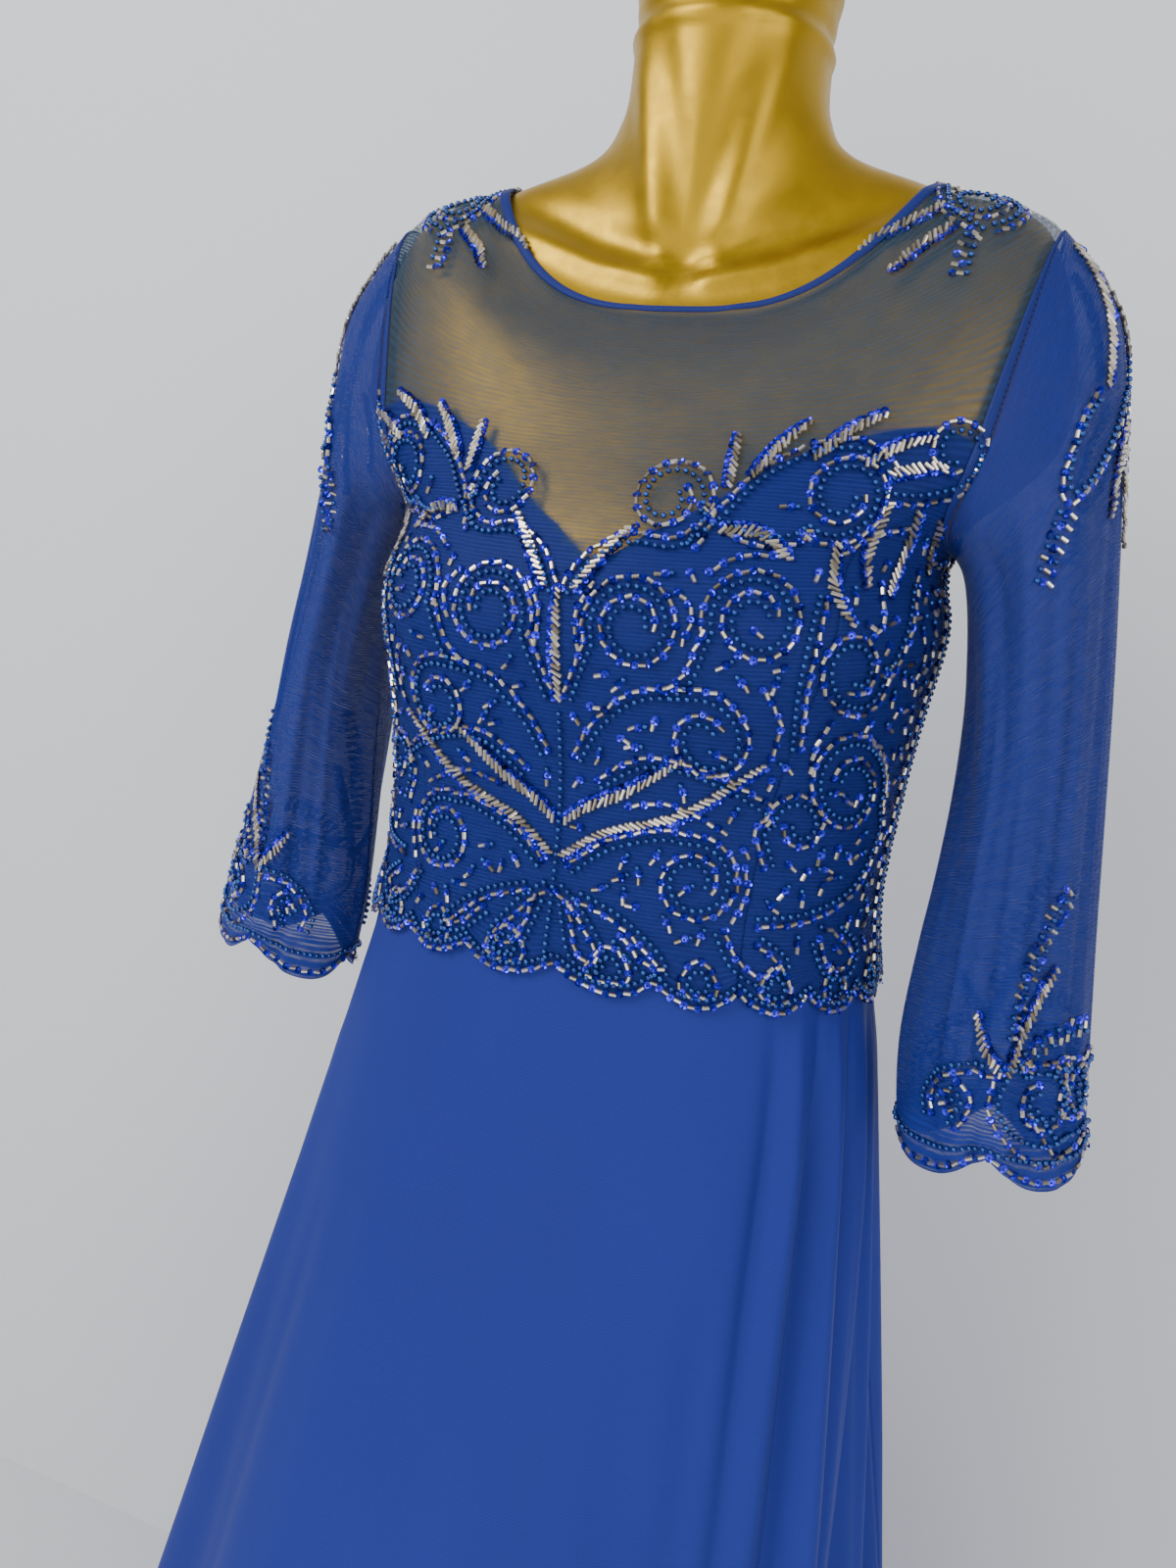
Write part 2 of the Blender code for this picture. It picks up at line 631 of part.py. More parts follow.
def build_form(collection, cutters):
    last = len(FORM_LEVELS) - 1

    def place(column, row):
        turn = 360.0 * (column % FORM_COLUMNS_ROUND) / FORM_COLUMNS_ROUND
        turn = turn - 360.0 if turn > 180.0 else turn
        point = form_point(FORM_LEVELS[row], turn)
        if row in (0, last):
            return Vector((0.0, FORM_MIDDLE_Y, point.z))
        return point

    form = keep("form_torso", grid(FORM_COLUMNS_ROUND, last, place), FORM_GOLD, collection)
    bpy.ops.mesh.primitive_cylinder_add(
        vertices=32,
        radius=POLE_RADIUS + TOUCH_GAP,
        depth=POLE_SOCKET_DEPTH + NUDGE,
        location=(0.0, 0.0, FORM_BOTTOM_Z + (POLE_SOCKET_DEPTH - NUDGE) / 2.0),
    )
    socket = bpy.context.object
    socket.name = "pole_socket_cutter"
    socket.display_type = "WIRE"
    socket.hide_render = True
    for holder in list(socket.users_collection):
        holder.objects.unlink(socket)
    cutters.objects.link(socket)
    cut = form.modifiers.new("pole socket", "BOOLEAN")
    cut.operation = "DIFFERENCE"
    cut.object = socket


def turned(name, profile, look, collection):
    """A turned shape from a profile of radius and height, top to bottom."""
    mesh = bpy.data.meshes.new(name)
    points = [(radius, 0.0, z) for radius, z in profile]
    mesh.from_pydata(points, [(k, k + 1) for k in range(len(points) - 1)], [])
    thing = keep(name, mesh, look, collection)
    screw = thing.modifiers.new("turn", "SCREW")
    screw.steps = 32
    screw.render_steps = 32
    screw.use_merge_vertices = True
    screw.merge_threshold = 0.00001
    return thing


def build_stand(collection):
    foot_top = BASE_THICKNESS
    socket_radius = POLE_RADIUS + TOUCH_GAP
    base = (
        (0.0, foot_top),
        (BASE_RADIUS - EDGE_ROUND, foot_top),
        (BASE_RADIUS, foot_top - EDGE_ROUND),
        (BASE_RADIUS, 0.0),
        (0.0, 0.0),
    )
    turned("stand_base", base, STEEL, collection)
    pole_foot = foot_top + TOUCH_GAP
    pole_top = FORM_BOTTOM_Z + POLE_SOCKET_DEPTH - TOUCH_GAP
    pole = (
        (0.0, pole_top),
        (POLE_RADIUS, pole_top),
        *[(POLE_RADIUS + out, pole_foot + up) for out, up in POLE_FOOT],
        (0.0, pole_foot),
    )
    turned("stand_pole", pole, STEEL, collection)
    collar_top = FORM_BOTTOM_Z - TOUCH_GAP
    collar = (
        (socket_radius, collar_top),
        (COLLAR_RADIUS, collar_top),
        (COLLAR_RADIUS, collar_top - COLLAR_HEIGHT * COLLAR_RIM),
        (COLLAR_RADIUS * COLLAR_NECK, collar_top - COLLAR_HEIGHT),
        (socket_radius, collar_top - COLLAR_HEIGHT),
        (socket_radius, collar_top),
    )
    turned("stand_collar", collar, STEEL, collection)


# Concealed zip at the centre back: the tape, the slider and the pull tab
def build_zip_tape(collection):
    rise = -(LAYER_GAP + ZIP_TAPE_WALL)
    last_column = PANEL_COLUMNS["back"]
    half = ZIP_TAPE_WIDTH / 2.0

    def place(column, row):
        number = ZIP_LOW_ROW + row
        middle = panel_point("back", number, last_column, rise)
        beside = panel_point("back", number, last_column - 1, rise)
        x = half * (1.0 - column)
        share = (abs(x) - middle.x) / (beside.x - middle.x)
        point = middle.lerp(beside, share)
        point.x = x
        return point

    mesh = grid(2, TOP_ROW - ZIP_LOW_ROW, place)
    cloth("zip_tape", mesh, ZIP_TAPE_WALL, ZIP_BLUE, collection)


def zip_frame():
    """Place of the slider on the centre back: its own x is the dress's, y is outwards."""
    out = form_normal(ZIP_SLIDER_LEVEL, 180.0)
    out.x = 0.0
    out.normalize()
    across = Vector((1.0, 0.0, 0.0))
    up = across.cross(out)
    low_row = int(ZIP_SLIDER_ROW)
    seat = row_point(low_row, 0.0, True, NET_WALL)
    above = row_point(low_row + 1, 0.0, True, NET_WALL)
    origin = seat.lerp(above, ZIP_SLIDER_ROW - low_row)
    turn = Matrix((across, out, up)).transposed().to_4x4()
    return Matrix.Translation(origin) @ turn


def block(name, size, centre, look, collection, frame):
    """A small block with rounded edges, placed in the slider's own frame."""
    made = bmesh.new()
    bmesh.ops.create_cube(made, size=1.0)
    for vert in made.verts:
        vert.co = Vector([centre[k] + size[k] * vert.co[k] for k in range(3)])
    mesh = bpy.data.meshes.new(name)
    made.to_mesh(mesh)
    made.free()
    thing = keep(name, mesh, look, collection)
    thing.matrix_world = frame
    edge = thing.modifiers.new("round", "BEVEL")
    edge.width = min(size) * METAL_ROUND
    edge.segments = 1
    return thing


def build_zip_metal(collection):
    frame = zip_frame()
    width, depth, height = SLIDER_SIZE
    seat = SLIDER_GAP + depth / 2.0
    block("zip_slider", SLIDER_SIZE, (0.0, seat, 0.0), ZIP_BLUE, collection, frame)
    pivot_out = SLIDER_GAP + depth + TOUCH_GAP + PULL_SIZE[1] / 2.0
    hinge = frame @ Matrix.Translation((0.0, pivot_out, PULL_PIVOT_UP))
    centre = (0.0, 0.0, PULL_SIZE[1] / 2.0 - PULL_SIZE[2] / 2.0)
    block("zip_pull", PULL_SIZE, centre, ZIP_BLUE, collection, hinge)


def main():
    for thing in list(bpy.data.objects):
        bpy.data.objects.remove(thing, do_unlink=True)
    collection = bpy.data.collections.new("maxi_dress_on_dress_form")
    cutters = bpy.data.collections.new("cutters")
    bpy.context.scene.collection.children.link(collection)
    bpy.context.scene.collection.children.link(cutters)
    build_form(collection, cutters)
    build_stand(collection)
    build_bodice(collection)
    build_lining(collection)
    build_neck_binding(collection)
    build_sleeves(collection)
    build_skirt(collection)
    build_zip_tape(collection)
    build_zip_metal(collection)


main()
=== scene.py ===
"""Looks of a beaded maxi dress with a sheer yoke and sleeves, on a gold dress form.

Metres, +Z up. The front of the dress faces -Y and the wearer's left is +X. A place on the
torso is a level, which counts the rows of FORM_ROWS up, and a turn in degrees from the
centre front towards the wearer's left.
"""

import math
import random

import bmesh
import bpy
import numpy as np
from mathutils import Matrix, Vector
from mathutils.bvhtree import BVHTree
from mathutils.kdtree import KDTree


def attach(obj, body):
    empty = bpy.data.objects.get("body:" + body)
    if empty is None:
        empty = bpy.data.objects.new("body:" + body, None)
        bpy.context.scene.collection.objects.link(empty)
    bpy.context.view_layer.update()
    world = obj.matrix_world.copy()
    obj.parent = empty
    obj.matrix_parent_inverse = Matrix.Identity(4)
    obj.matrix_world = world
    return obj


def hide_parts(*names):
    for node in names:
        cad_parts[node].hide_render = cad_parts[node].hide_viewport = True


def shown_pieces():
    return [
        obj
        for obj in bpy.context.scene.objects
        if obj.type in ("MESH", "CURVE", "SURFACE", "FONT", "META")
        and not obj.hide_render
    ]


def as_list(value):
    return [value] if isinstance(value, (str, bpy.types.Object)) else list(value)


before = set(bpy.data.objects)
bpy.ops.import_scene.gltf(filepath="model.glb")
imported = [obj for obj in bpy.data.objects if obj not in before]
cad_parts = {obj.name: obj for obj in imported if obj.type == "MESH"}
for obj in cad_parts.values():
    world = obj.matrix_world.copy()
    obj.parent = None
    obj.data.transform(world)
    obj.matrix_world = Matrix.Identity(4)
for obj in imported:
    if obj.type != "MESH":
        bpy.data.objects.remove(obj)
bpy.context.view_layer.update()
DRESS = "dress_on_form"
CM = 0.01
MM = 0.001

# Heights and levels shared with the solids
WAIST_SEAM_Z = 1.0565
HEM_Z = 0.020
BODICE_HEM_LEVEL = 2.98
ARMPIT_LEVEL = 8.0
SHOULDER_LEVEL = 10.0
SCALLOP_DROP = 0.24
SCALLOP_COLUMNS = 4
CUSP_SHARPNESS = 0.8
ARMHOLE_TURN = 34.0
ARMHOLE_STEPS = 8
SEAM_TURN = 0.18
BAND_WIDTH = 5.4 * MM
TORSO_RADIUS = 0.125
LEVEL_HEIGHT = 0.045
CUFF_DROP = 0.010
CUFF_ARCH = 0.007
CUFF_ARCH_COLUMNS = 0.9
RIGHT_CUFF_TILT = 1.7

# Thin cloth of the picture: wall, and how far its inner face stands off the net's inner face
NET_THIN = 0.0005
NET_RISE = 0.0003
LINING_THIN = 0.0006
LINING_RISE = -0.0016
CREPE_THIN = 0.0009
STRIP_THIN = 0.0006
SLEEVE_THIN = 0.0004
TAPE_THIN = 0.0005

# Zip of the centre back: half the width of its tapes, the net's share of a row at its edge,
# the gap beside it as a count of seam gaps, and the room between tape and lining
ZIP_HALF = 9.8 * MM
TAPE_FAR_SHARE = 0.0525
ZIP_SEAM_GAPS = 2.2
TAPE_ROOM = 0.5 * MM

# Outline of the dress form, from the bottom edge to the top of the neck
# front y, front z, side x, side y, side z, back y, back z, squareness, side rise
FORM_ROWS = (
    (-0.098, 0.870, 0.158, 0.004, 0.870, 0.112, 0.870, 2.3, 2.0),
    (-0.099, 0.930, 0.157, 0.004, 0.930, 0.113, 0.930, 2.3, 2.0),
    (-0.099, 0.990, 0.150, 0.002, 0.990, 0.104, 0.990, 2.3, 2.0),
    (-0.098, 1.035, 0.143, 0.000, 1.035, 0.092, 1.035, 2.3, 2.0),
    (-0.098, 1.080, 0.139, 0.000, 1.080, 0.082, 1.085, 2.3, 2.0),
    (-0.100, 1.130, 0.142, 0.000, 1.132, 0.080, 1.140, 2.3, 2.0),
    (-0.104, 1.170, 0.147, 0.000, 1.180, 0.084, 1.190, 2.3, 2.0),
    (-0.107, 1.210, 0.153, 0.002, 1.225, 0.090, 1.238, 2.3, 2.0),
    (-0.101, 1.253, 0.151, 0.006, 1.268, 0.095, 1.290, 2.2, 1.9),
    (-0.081, 1.302, 0.203, 0.010, 1.332, 0.096, 1.345, 1.9, 1.8),
    (-0.061, 1.344, 0.181, 0.013, 1.427, 0.088, 1.398, 2.2, 2.0),
    (-0.041, 1.374, 0.120, 0.013, 1.451, 0.072, 1.430, 2.6, 2.4),
    (-0.032, 1.404, 0.073, 0.013, 1.469, 0.064, 1.455, 2.4, 2.2),
    (-0.034, 1.440, 0.0575, 0.013, 1.490, 0.060, 1.478, 2.2, 2.0),
    (-0.039, 1.488, 0.0540, 0.013, 1.515, 0.059, 1.511, 2.1, 1.8),
    (-0.043, 1.530, 0.0540, 0.012, 1.540, 0.061, 1.540, 2.1, 1.8),
    (-0.044, 1.553, 0.0550, 0.011, 1.556, 0.061, 1.556, 2.1, 1.8),
    (-0.030, 1.563, 0.0400, 0.010, 1.564, 0.047, 1.564, 2.0, 1.8),
)
BUST = {"turn": 38.0, "spread": 24.0, "z": 1.205, "half_height": 0.048, "rise": 0.013}
BUST_FORWARD = 0.92
BUST_OUTWARD = 0.38

# Room between the form and the inner face of the net: level, room
NET_ROOM = (
    (2.0, 0.0100),
    (3.2, 0.0065),
    (4.0, 0.0052),
    (6.0, 0.0050),
    (8.0, 0.0046),
    (9.0, 0.0045),
    (10.0, 0.0045),
    (10.6, 0.0034),
)
SHOULDER_ROOM = 0.0012
SHOULDER_LEVELS = (9.95, 10.3)
SHOULDER_SIDES = (0.94, 0.985)
BRIDGE = {"rise": 0.007, "spread": 17.0, "level": 7.1, "half_height": 1.3}

# Bodice: levels of the rows below the armhole and above the shoulder, princess seam's
# turns, and the top edge of the lining as a row number at even steps out from the centre
LOW_LEVELS = (BODICE_HEM_LEVEL, 3.5, 4.2, 4.9, 5.6, 6.2, 6.8, 7.4, ARMPIT_LEVEL)
HIGH_LEVELS = (SHOULDER_LEVEL, 10.33, 10.67, 11.0)
PRINCESS_TURNS = (36.0, 36.3, 37.0, 38.0, 39.5, 41.0, 42.5, 44.5, 48.0, 52.0, 55.5, 57.6)
PRINCESS_TOP = 11.35
SIDE_FRONT_TOP = 11.2
ARMPIT_ROW = 8
SHOULDER_ROW = 16
TOP_ROW = 19
LINING_TOP_FRONT = (7.45, 9.2, 11.0, 11.9, 12.1, 11.7)
LINING_TOP_BACK = (11.3, 11.4, 11.6, 11.8, 11.8, 11.7)

# Skirt: z, half width, front depth, back depth, centre x, squareness
SKIRT_ROWS = (
    (1.0562, 0.1441, 0.1020, 0.0905, 0.000, 2.3),
    (1.0200, 0.1492, 0.1030, 0.1000, 0.000, 2.3),
    (0.9900, 0.1555, 0.1060, 0.1090, 0.000, 2.3),
    (0.9500, 0.1625, 0.1110, 0.1180, -0.001, 2.3),
    (0.8700, 0.1770, 0.1270, 0.1340, -0.004, 2.2),
    (0.7600, 0.1960, 0.1490, 0.1560, -0.008, 2.2),
    (0.6340, 0.2180, 0.1760, 0.1850, -0.014, 2.1),
    (0.4500, 0.2520, 0.2120, 0.2240, -0.020, 2.1),
    (0.2400, 0.2920, 0.2480, 0.2640, -0.027, 2.1),
    (0.0200, 0.3330, 0.2830, 0.3020, -0.034, 2.1),
)

# Folds of the skirt: turn at the waist seam and at the hem, start height,
# half width in degrees at the hem, depth at the hem (troughs are negative)
SKIRT_FOLDS = (
    (8.0, 12.0, 0.86, 9.0, 0.013),
    (24.0, 27.0, 0.80, 8.0, -0.012),
    (60.0, 39.0, 1.00, 4.5, -0.016),
    (74.0, 49.0, 1.00, 5.0, 0.020),
    (86.0, 58.0, 1.03, 4.0, -0.034),
    (90.0, 67.0, 1.03, 4.5, 0.024),
    (95.0, 76.0, 1.02, 4.0, -0.030),
    (99.0, 85.0, 1.02, 4.5, 0.022),
    (106.0, 95.0, 1.00, 5.0, -0.026),
    (116.0, 108.0, 0.99, 6.0, 0.022),
    (128.0, 122.0, 0.98, 6.0, -0.026),
    (143.0, 138.0, 0.96, 7.5, 0.022),
    (158.0, 155.0, 0.94, 7.0, -0.022),
    (178.0, 176.0, 0.92, 8.0, 0.016),
    (-16.0, -13.0, 0.84, 8.0, -0.013),
    (-34.0, -32.0, 0.82, 9.0, 0.015),
    (-52.0, -46.0, 0.90, 5.5, -0.014),
    (-62.0, -58.0, 1.01, 6.0, 0.022),
    (-76.0, -70.0, 1.03, 4.5, -0.036),
    (-88.0, -84.0, 1.03, 5.5, 0.030),
    (-98.0, -97.0, 1.02, 5.0, -0.032),
    (-109.0, -110.0, 1.00, 6.0, 0.024),
    (-122.0, -124.0, 0.98, 6.0, -0.026),
    (-138.0, -140.0, 0.96, 7.5, 0.022),
    (-156.0, -158.0, 0.94, 7.0, -0.022),
)
FOLD_GROWTH = 0.85
FOLD_NARROWING = 0.15
# Small soft creases of the skirt, in the same columns. They have their full depth after this
# share of the way down
CREASE_FULL = 0.10
SKIRT_CREASES = (
    (-8.0, -4.0, 0.98, 4.6, -0.0022),
    (16.0, 19.0, 0.93, 4.0, 0.0020),
    (34.0, 35.0, 0.90, 3.4, -0.0026),
    (-26.0, -23.0, 0.95, 4.5, 0.0024),
    (-43.0, -40.0, 0.88, 3.4, -0.0030),
    (46.0, 37.0, 1.03, 2.2, -0.0050),
    (53.0, 42.0, 1.04, 2.0, 0.0046),
    (60.0, 46.5, 1.04, 1.8, -0.0066),
    (67.0, 50.5, 1.04, 1.8, 0.0050),
    (74.0, 54.0, 1.04, 1.8, -0.0064),
    (81.0, 60.0, 1.03, 2.0, 0.0050),
    (88.0, 68.0, 1.03, 2.0, -0.0060),
    (-68.0, -64.0, 1.03, 1.8, -0.0060),
    (-82.0, -77.0, 1.03, 1.8, 0.0050),
    (103.0, 90.0, 1.02, 1.8, -0.0050),
    (121.0, 115.0, 0.98, 2.2, -0.0040),
    (150.0, 147.0, 0.96, 2.4, -0.0040),
    (168.0, 166.0, 0.93, 2.4, 0.0035),
    (-103.0, -104.0, 1.02, 2.0, 0.0050),
    (-116.0, -117.0, 1.00, 2.2, -0.0045),
    (-130.0, -131.0, 0.98, 2.4, 0.0040),
    (-147.0, -149.0, 0.95, 2.4, -0.0040),
    (-168.0, -168.0, 0.93, 2.6, 0.0035),
)

# Sleeve sections from the armhole to the cuff: outer x, outer z, inner x, inner z, centre y,
# half depth, share of armhole shape, the right sleeve's pull in, and its lift
SLEEVE_ROWS = (
    (0.1840, 1.4300, 0.1570, 1.2690, 0.009, 0.049, 1.00, 0.000, 0.000),
    (0.2030, 1.4100, 0.1625, 1.2600, 0.008, 0.053, 0.72, 0.005, 0.000),
    (0.2190, 1.3830, 0.1660, 1.2480, 0.006, 0.055, 0.40, 0.009, 0.001),
    (0.2280, 1.3450, 0.1690, 1.2320, 0.004, 0.056, 0.15, 0.014, 0.002),
    (0.2335, 1.3000, 0.1720, 1.2100, 0.002, 0.056, 0.00, 0.020, 0.003),
    (0.2390, 1.2470, 0.1755, 1.1800, 0.000, 0.055, 0.00, 0.020, 0.004),
    (0.2445, 1.1930, 0.1775, 1.1430, -0.003, 0.053, 0.00, 0.017, 0.006),
    (0.2495, 1.1390, 0.1765, 1.1040, -0.006, 0.051, 0.00, 0.013, 0.008),
    (0.2545, 1.0850, 0.1735, 1.0620, -0.009, 0.048, 0.00, 0.008, 0.010),
    (0.2600, 1.0320, 0.1715, 1.0180, -0.012, 0.045, 0.00, 0.004, 0.013),
    (0.2650, 0.9880, 0.1735, 0.9800, -0.014, 0.042, 0.00, 0.001, 0.015),
    (0.2680, 0.9650, 0.1765, 0.9580, -0.015, 0.040, 0.00, 0.000, 0.016),
)
SLEEVE_LAST = len(SLEEVE_ROWS) - 1
# Main folds, then small creases of a sleeve: angle round it from the armpit at the shoulder
# and at the cuff, half width in degrees, depth, first and last row
MAIN_FOLDS = 4
RIGHT_FOLD_TURN = 11.0
SLEEVE_FOLD_END = 12.0
SLEEVE_FOLDS = (
    (50.0, 50.0, 20.0, -0.0040, 1.0, 12.0),
    (128.0, 128.0, 20.0, -0.0035, 1.0, 12.0),
    (232.0, 232.0, 20.0, -0.0040, 1.0, 12.0),
    (312.0, 312.0, 20.0, -0.0030, 1.0, 12.0),
    (70.0, 96.0, 7.0, 0.0030, 1.5, 9.5),
    (92.0, 112.0, 6.0, -0.0030, 2.0, 10.5),
    (112.0, 140.0, 6.0, 0.0026, 0.8, 8.0),
    (150.0, 150.0, 5.0, -0.0026, 2.5, 11.5),
    (30.0, 66.0, 6.0, 0.0034, 2.0, 7.5),
    (14.0, 40.0, 7.0, -0.0036, 2.5, 8.5),
    (200.0, 206.0, 7.0, -0.0030, 1.5, 10.5),
    (250.0, 246.0, 7.0, 0.0032, 1.5, 9.0),
    (276.0, 266.0, 6.0, -0.0030, 2.0, 10.0),
    (334.0, 320.0, 7.0, 0.0034, 2.0, 8.5),
    (40.0, 92.0, 4.5, -0.0030, 1.0, 6.5),
    (62.0, 58.0, 4.0, 0.0026, 3.5, 10.5),
    (84.0, 80.0, 4.5, -0.0032, 4.5, 12.0),
    (104.0, 100.0, 4.0, 0.0024, 5.0, 12.0),
    (124.0, 118.0, 4.5, -0.0028, 3.0, 11.0),
    (166.0, 170.0, 4.5, -0.0030, 1.0, 9.0),
    (186.0, 186.0, 4.5, 0.0026, 3.0, 12.0),
    (216.0, 226.0, 5.0, 0.0028, 2.0, 12.0),
    (262.0, 236.0, 4.5, -0.0026, 3.0, 11.0),
    (296.0, 290.0, 5.0, 0.0028, 1.5, 10.0),
    (346.0, 350.0, 5.0, -0.0034, 3.0, 9.0),
    (8.0, 12.0, 5.0, 0.0034, 4.0, 11.0),
)

# Soft drag lines of the yoke: x and z at both ends, half width, height
YOKE_LOW_Z = 1.27
YOKE_DRAGS = (
    (-0.118, 1.425, -0.104, 1.310, 0.0055, 0.0030),
    (-0.136, 1.415, -0.128, 1.310, 0.0050, -0.0016),
    (-0.150, 1.405, -0.146, 1.300, 0.0050, 0.0018),
    (-0.094, 1.395, -0.058, 1.300, 0.0060, -0.0015),
    (0.128, 1.415, 0.062, 1.335, 0.0060, 0.0024),
    (0.142, 1.405, 0.086, 1.325, 0.0050, -0.0016),
    (0.152, 1.395, 0.112, 1.310, 0.0055, 0.0020),
    (0.036, 1.372, -0.010, 1.318, 0.0050, 0.0016),
    (0.060, 1.352, 0.010, 1.322, 0.0045, -0.0012),
    (-0.020, 1.368, 0.012, 1.300, 0.0050, 0.0012),
)

BEAD_SEED = 7


def smooth(low, high, value):
    """Ease from 0 at low to 1 at high."""
    t = min(max((value - low) / (high - low), 0.0), 1.0)
    return t * t * (3.0 - 2.0 * t)


def bell(value, centre, half_width):
    """A soft hump of height 1 at the centre."""
    return math.exp(-(((value - centre) / half_width) ** 2))


def spline(values, place):
    """Read a smooth curve through evenly spaced values."""
    last = len(values) - 1
    k = min(max(int(math.floor(place)), 0), last - 1)
    t = place - k
    a = values[max(k - 1, 0)]
    b = values[k]
    c = values[k + 1]
    d = values[min(k + 2, last)]
    return b + 0.5 * t * (c - a + t * (2 * a - 5 * b + 4 * c - d + t * (3 * (b - c) + d - a)))


def along(values, place):
    """Read a straight line between evenly spaced values."""
    k = min(max(int(math.floor(place)), 0), len(values) - 2)
    return values[k] + (values[k + 1] - values[k]) * (place - k)


def table(rows, key):
    """Read the columns of a table at a key between its rows, whose keys rise or fall."""
    sign = 1.0 if rows[-1][0] > rows[0][0] else -1.0
    if sign * key <= sign * rows[0][0]:
        return rows[0][1:]
    for low, high in zip(rows, rows[1:]):
        if sign * key <= sign * high[0]:
            t = (key - low[0]) / (high[0] - low[0])
            return [a + (b - a) * t for a, b in zip(low[1:], high[1:])]
    return rows[-1][1:]


def ring_point(size, turn):
    """A point on a rounded ring, from its front, side and back ends."""
    front_y, front_z, side_x, side_y, side_z, back_y, back_z, square, rise = size
    across = math.sin(math.radians(turn))
    toward = math.cos(math.radians(turn))
    end_y, end_z = (front_y, front_z) if toward > 0.0 else (back_y, back_z)
    x = math.copysign(side_x * abs(across) ** (2.0 / square), across)
    y = side_y + (end_y - side_y) * abs(toward) ** (2.0 / square)
    z = end_z + (side_z - end_z) * abs(across) ** rise
    return Vector((x, y, z))


FORM_COLUMNS = tuple(zip(*FORM_ROWS))


def form_point(level, turn):
    """A point on the dress form."""
    point = ring_point([spline(column, level) for column in FORM_COLUMNS], turn)
    cup = BUST["rise"] * bell(abs(turn), BUST["turn"], BUST["spread"])
    cup *= bell(point.z, BUST["z"], BUST["half_height"])
    point.y -= BUST_FORWARD * cup
    point.x += math.copysign(BUST_OUTWARD * cup, turn)
    return point


def form_normal(level, turn):
    """The outward direction of the form's surface."""
    round_it = form_point(level, turn + 1.0) - form_point(level, turn - 1.0)
    up = form_point(level + 0.05, turn) - form_point(level - 0.05, turn)
    return round_it.cross(up).normalized()


def net_room(level, turn):
    """Room between the form and the inner face of the net."""
    side = abs(math.sin(math.radians(turn)))
    room = table(NET_ROOM, level)[0]
    on_shoulder = smooth(*SHOULDER_LEVELS, level) * smooth(*SHOULDER_SIDES, side)
    room += (SHOULDER_ROOM - room) * on_shoulder
    if abs(turn) < 90.0:
        bridge = bell(turn, 0.0, BRIDGE["spread"])
        room += BRIDGE["rise"] * bridge * bell(level, BRIDGE["level"], BRIDGE["half_height"])
    return room


def drag(point):
    """Height of the yoke's soft drag lines at a point of the front."""
    height = 0.0
    if point.z < YOKE_LOW_Z or point.y > 0.0:
        return height
    for x0, z0, x1, z1, half_width, amount in YOKE_DRAGS:
        length = math.hypot(x1 - x0, z1 - z0)
        ax = (x1 - x0) / length
        az = (z1 - z0) / length
        place = ((point.x - x0) * ax + (point.z - z0) * az) / length
        aside = (point.x - x0) * az - (point.z - z0) * ax
        fade = smooth(-0.25, 0.25, place) * (1.0 - smooth(0.7, 1.25, place))
        height += amount * bell(aside, 0.0, half_width) * fade
    return height


def cloth_point(level, turn, rise=0.0, creased=True):
    """A point on the bodice; a rise of 0 is the inner face of the net."""
    base = form_point(level, turn)
    out = form_normal(level, turn)
    crease = drag(base) if creased else 0.0
    return base + out * (net_room(level, turn) + rise + crease)


def bodice_row(row):
    """Level at the centre, level at the armhole side and the armhole's inset at a row."""
    if row <= ARMPIT_ROW:
        level = along(LOW_LEVELS, row)
        return level, level, 0.0
    if row >= SHOULDER_ROW:
        level = along(HIGH_LEVELS, row - SHOULDER_ROW)
        return level, level, 0.0
    part = (row - ARMPIT_ROW) / ARMHOLE_STEPS
    angle = math.pi * part
    even = ARMPIT_LEVEL + (SHOULDER_LEVEL - ARMPIT_LEVEL) * part
    middle = (ARMPIT_LEVEL + SHOULDER_LEVEL) / 2.0
    return even, middle - math.cos(angle), ARMHOLE_TURN * math.sin(angle)


def row_point(row, share, back, rise, drop=0.0, creased=True):
    """A point on a bodice row: share is 0 at the centre and 1 at the side or armhole,
    and negative on the wearer's right."""
    centre_level, side_level, inset = bodice_row(row)
    reach = 90.0 - inset
    turn = (180.0 - abs(share) * reach) if back else abs(share) * reach
    level = centre_level + (side_level - centre_level) * share * share - drop
    if share < 0.0:
        turn = -turn
    return cloth_point(level, turn, rise, creased)


def princess_share(row):
    """Where the princess seam crosses a row of the front bodice."""
    if row >= PRINCESS_TOP:
        return 1.0
    last = len(PRINCESS_TURNS) - 1
    turn = spline(PRINCESS_TURNS, min(row, last))
    share = turn / (90.0 - bodice_row(min(row, last))[2])
    return share + (1.0 - share) * smooth(last, PRINCESS_TOP, row)


def turn_share(turn):
    """Whether a turn is at the back, and its share of a whole row."""
    back = abs(turn) > 90.0
    share = (180.0 - abs(turn)) / 90.0 if back else abs(turn) / 90.0
    return back, math.copysign(share, turn)


def band_share(number, width):
    """The share of a row at a part of the armhole band's width, from the armhole in."""
    reach = math.radians(90.0 - bodice_row(number)[2])
    return 1.0 - width * BAND_WIDTH / (reach * TORSO_RADIUS)


def seam_share(row):
    """Half a seam's gap as a share of a row."""
    return 0.5 * SEAM_TURN / (90.0 - bodice_row(row)[2])


def scallop(column):
    """How far the scalloped edge drops at a column, from 0 at a cusp to 1."""
    part = (column % SCALLOP_COLUMNS) / SCALLOP_COLUMNS
    return math.sin(math.pi * part) ** CUSP_SHARPNESS


def lined(row, share, back, rise):
    """A point of the lining between two bodice rows."""
    return row_point(row, share, back, rise, creased=False)


def lining_top(share, back):
    """Row number of the lining's top edge."""
    return spline(LINING_TOP_BACK if back else LINING_TOP_FRONT, abs(share) * 5.0)


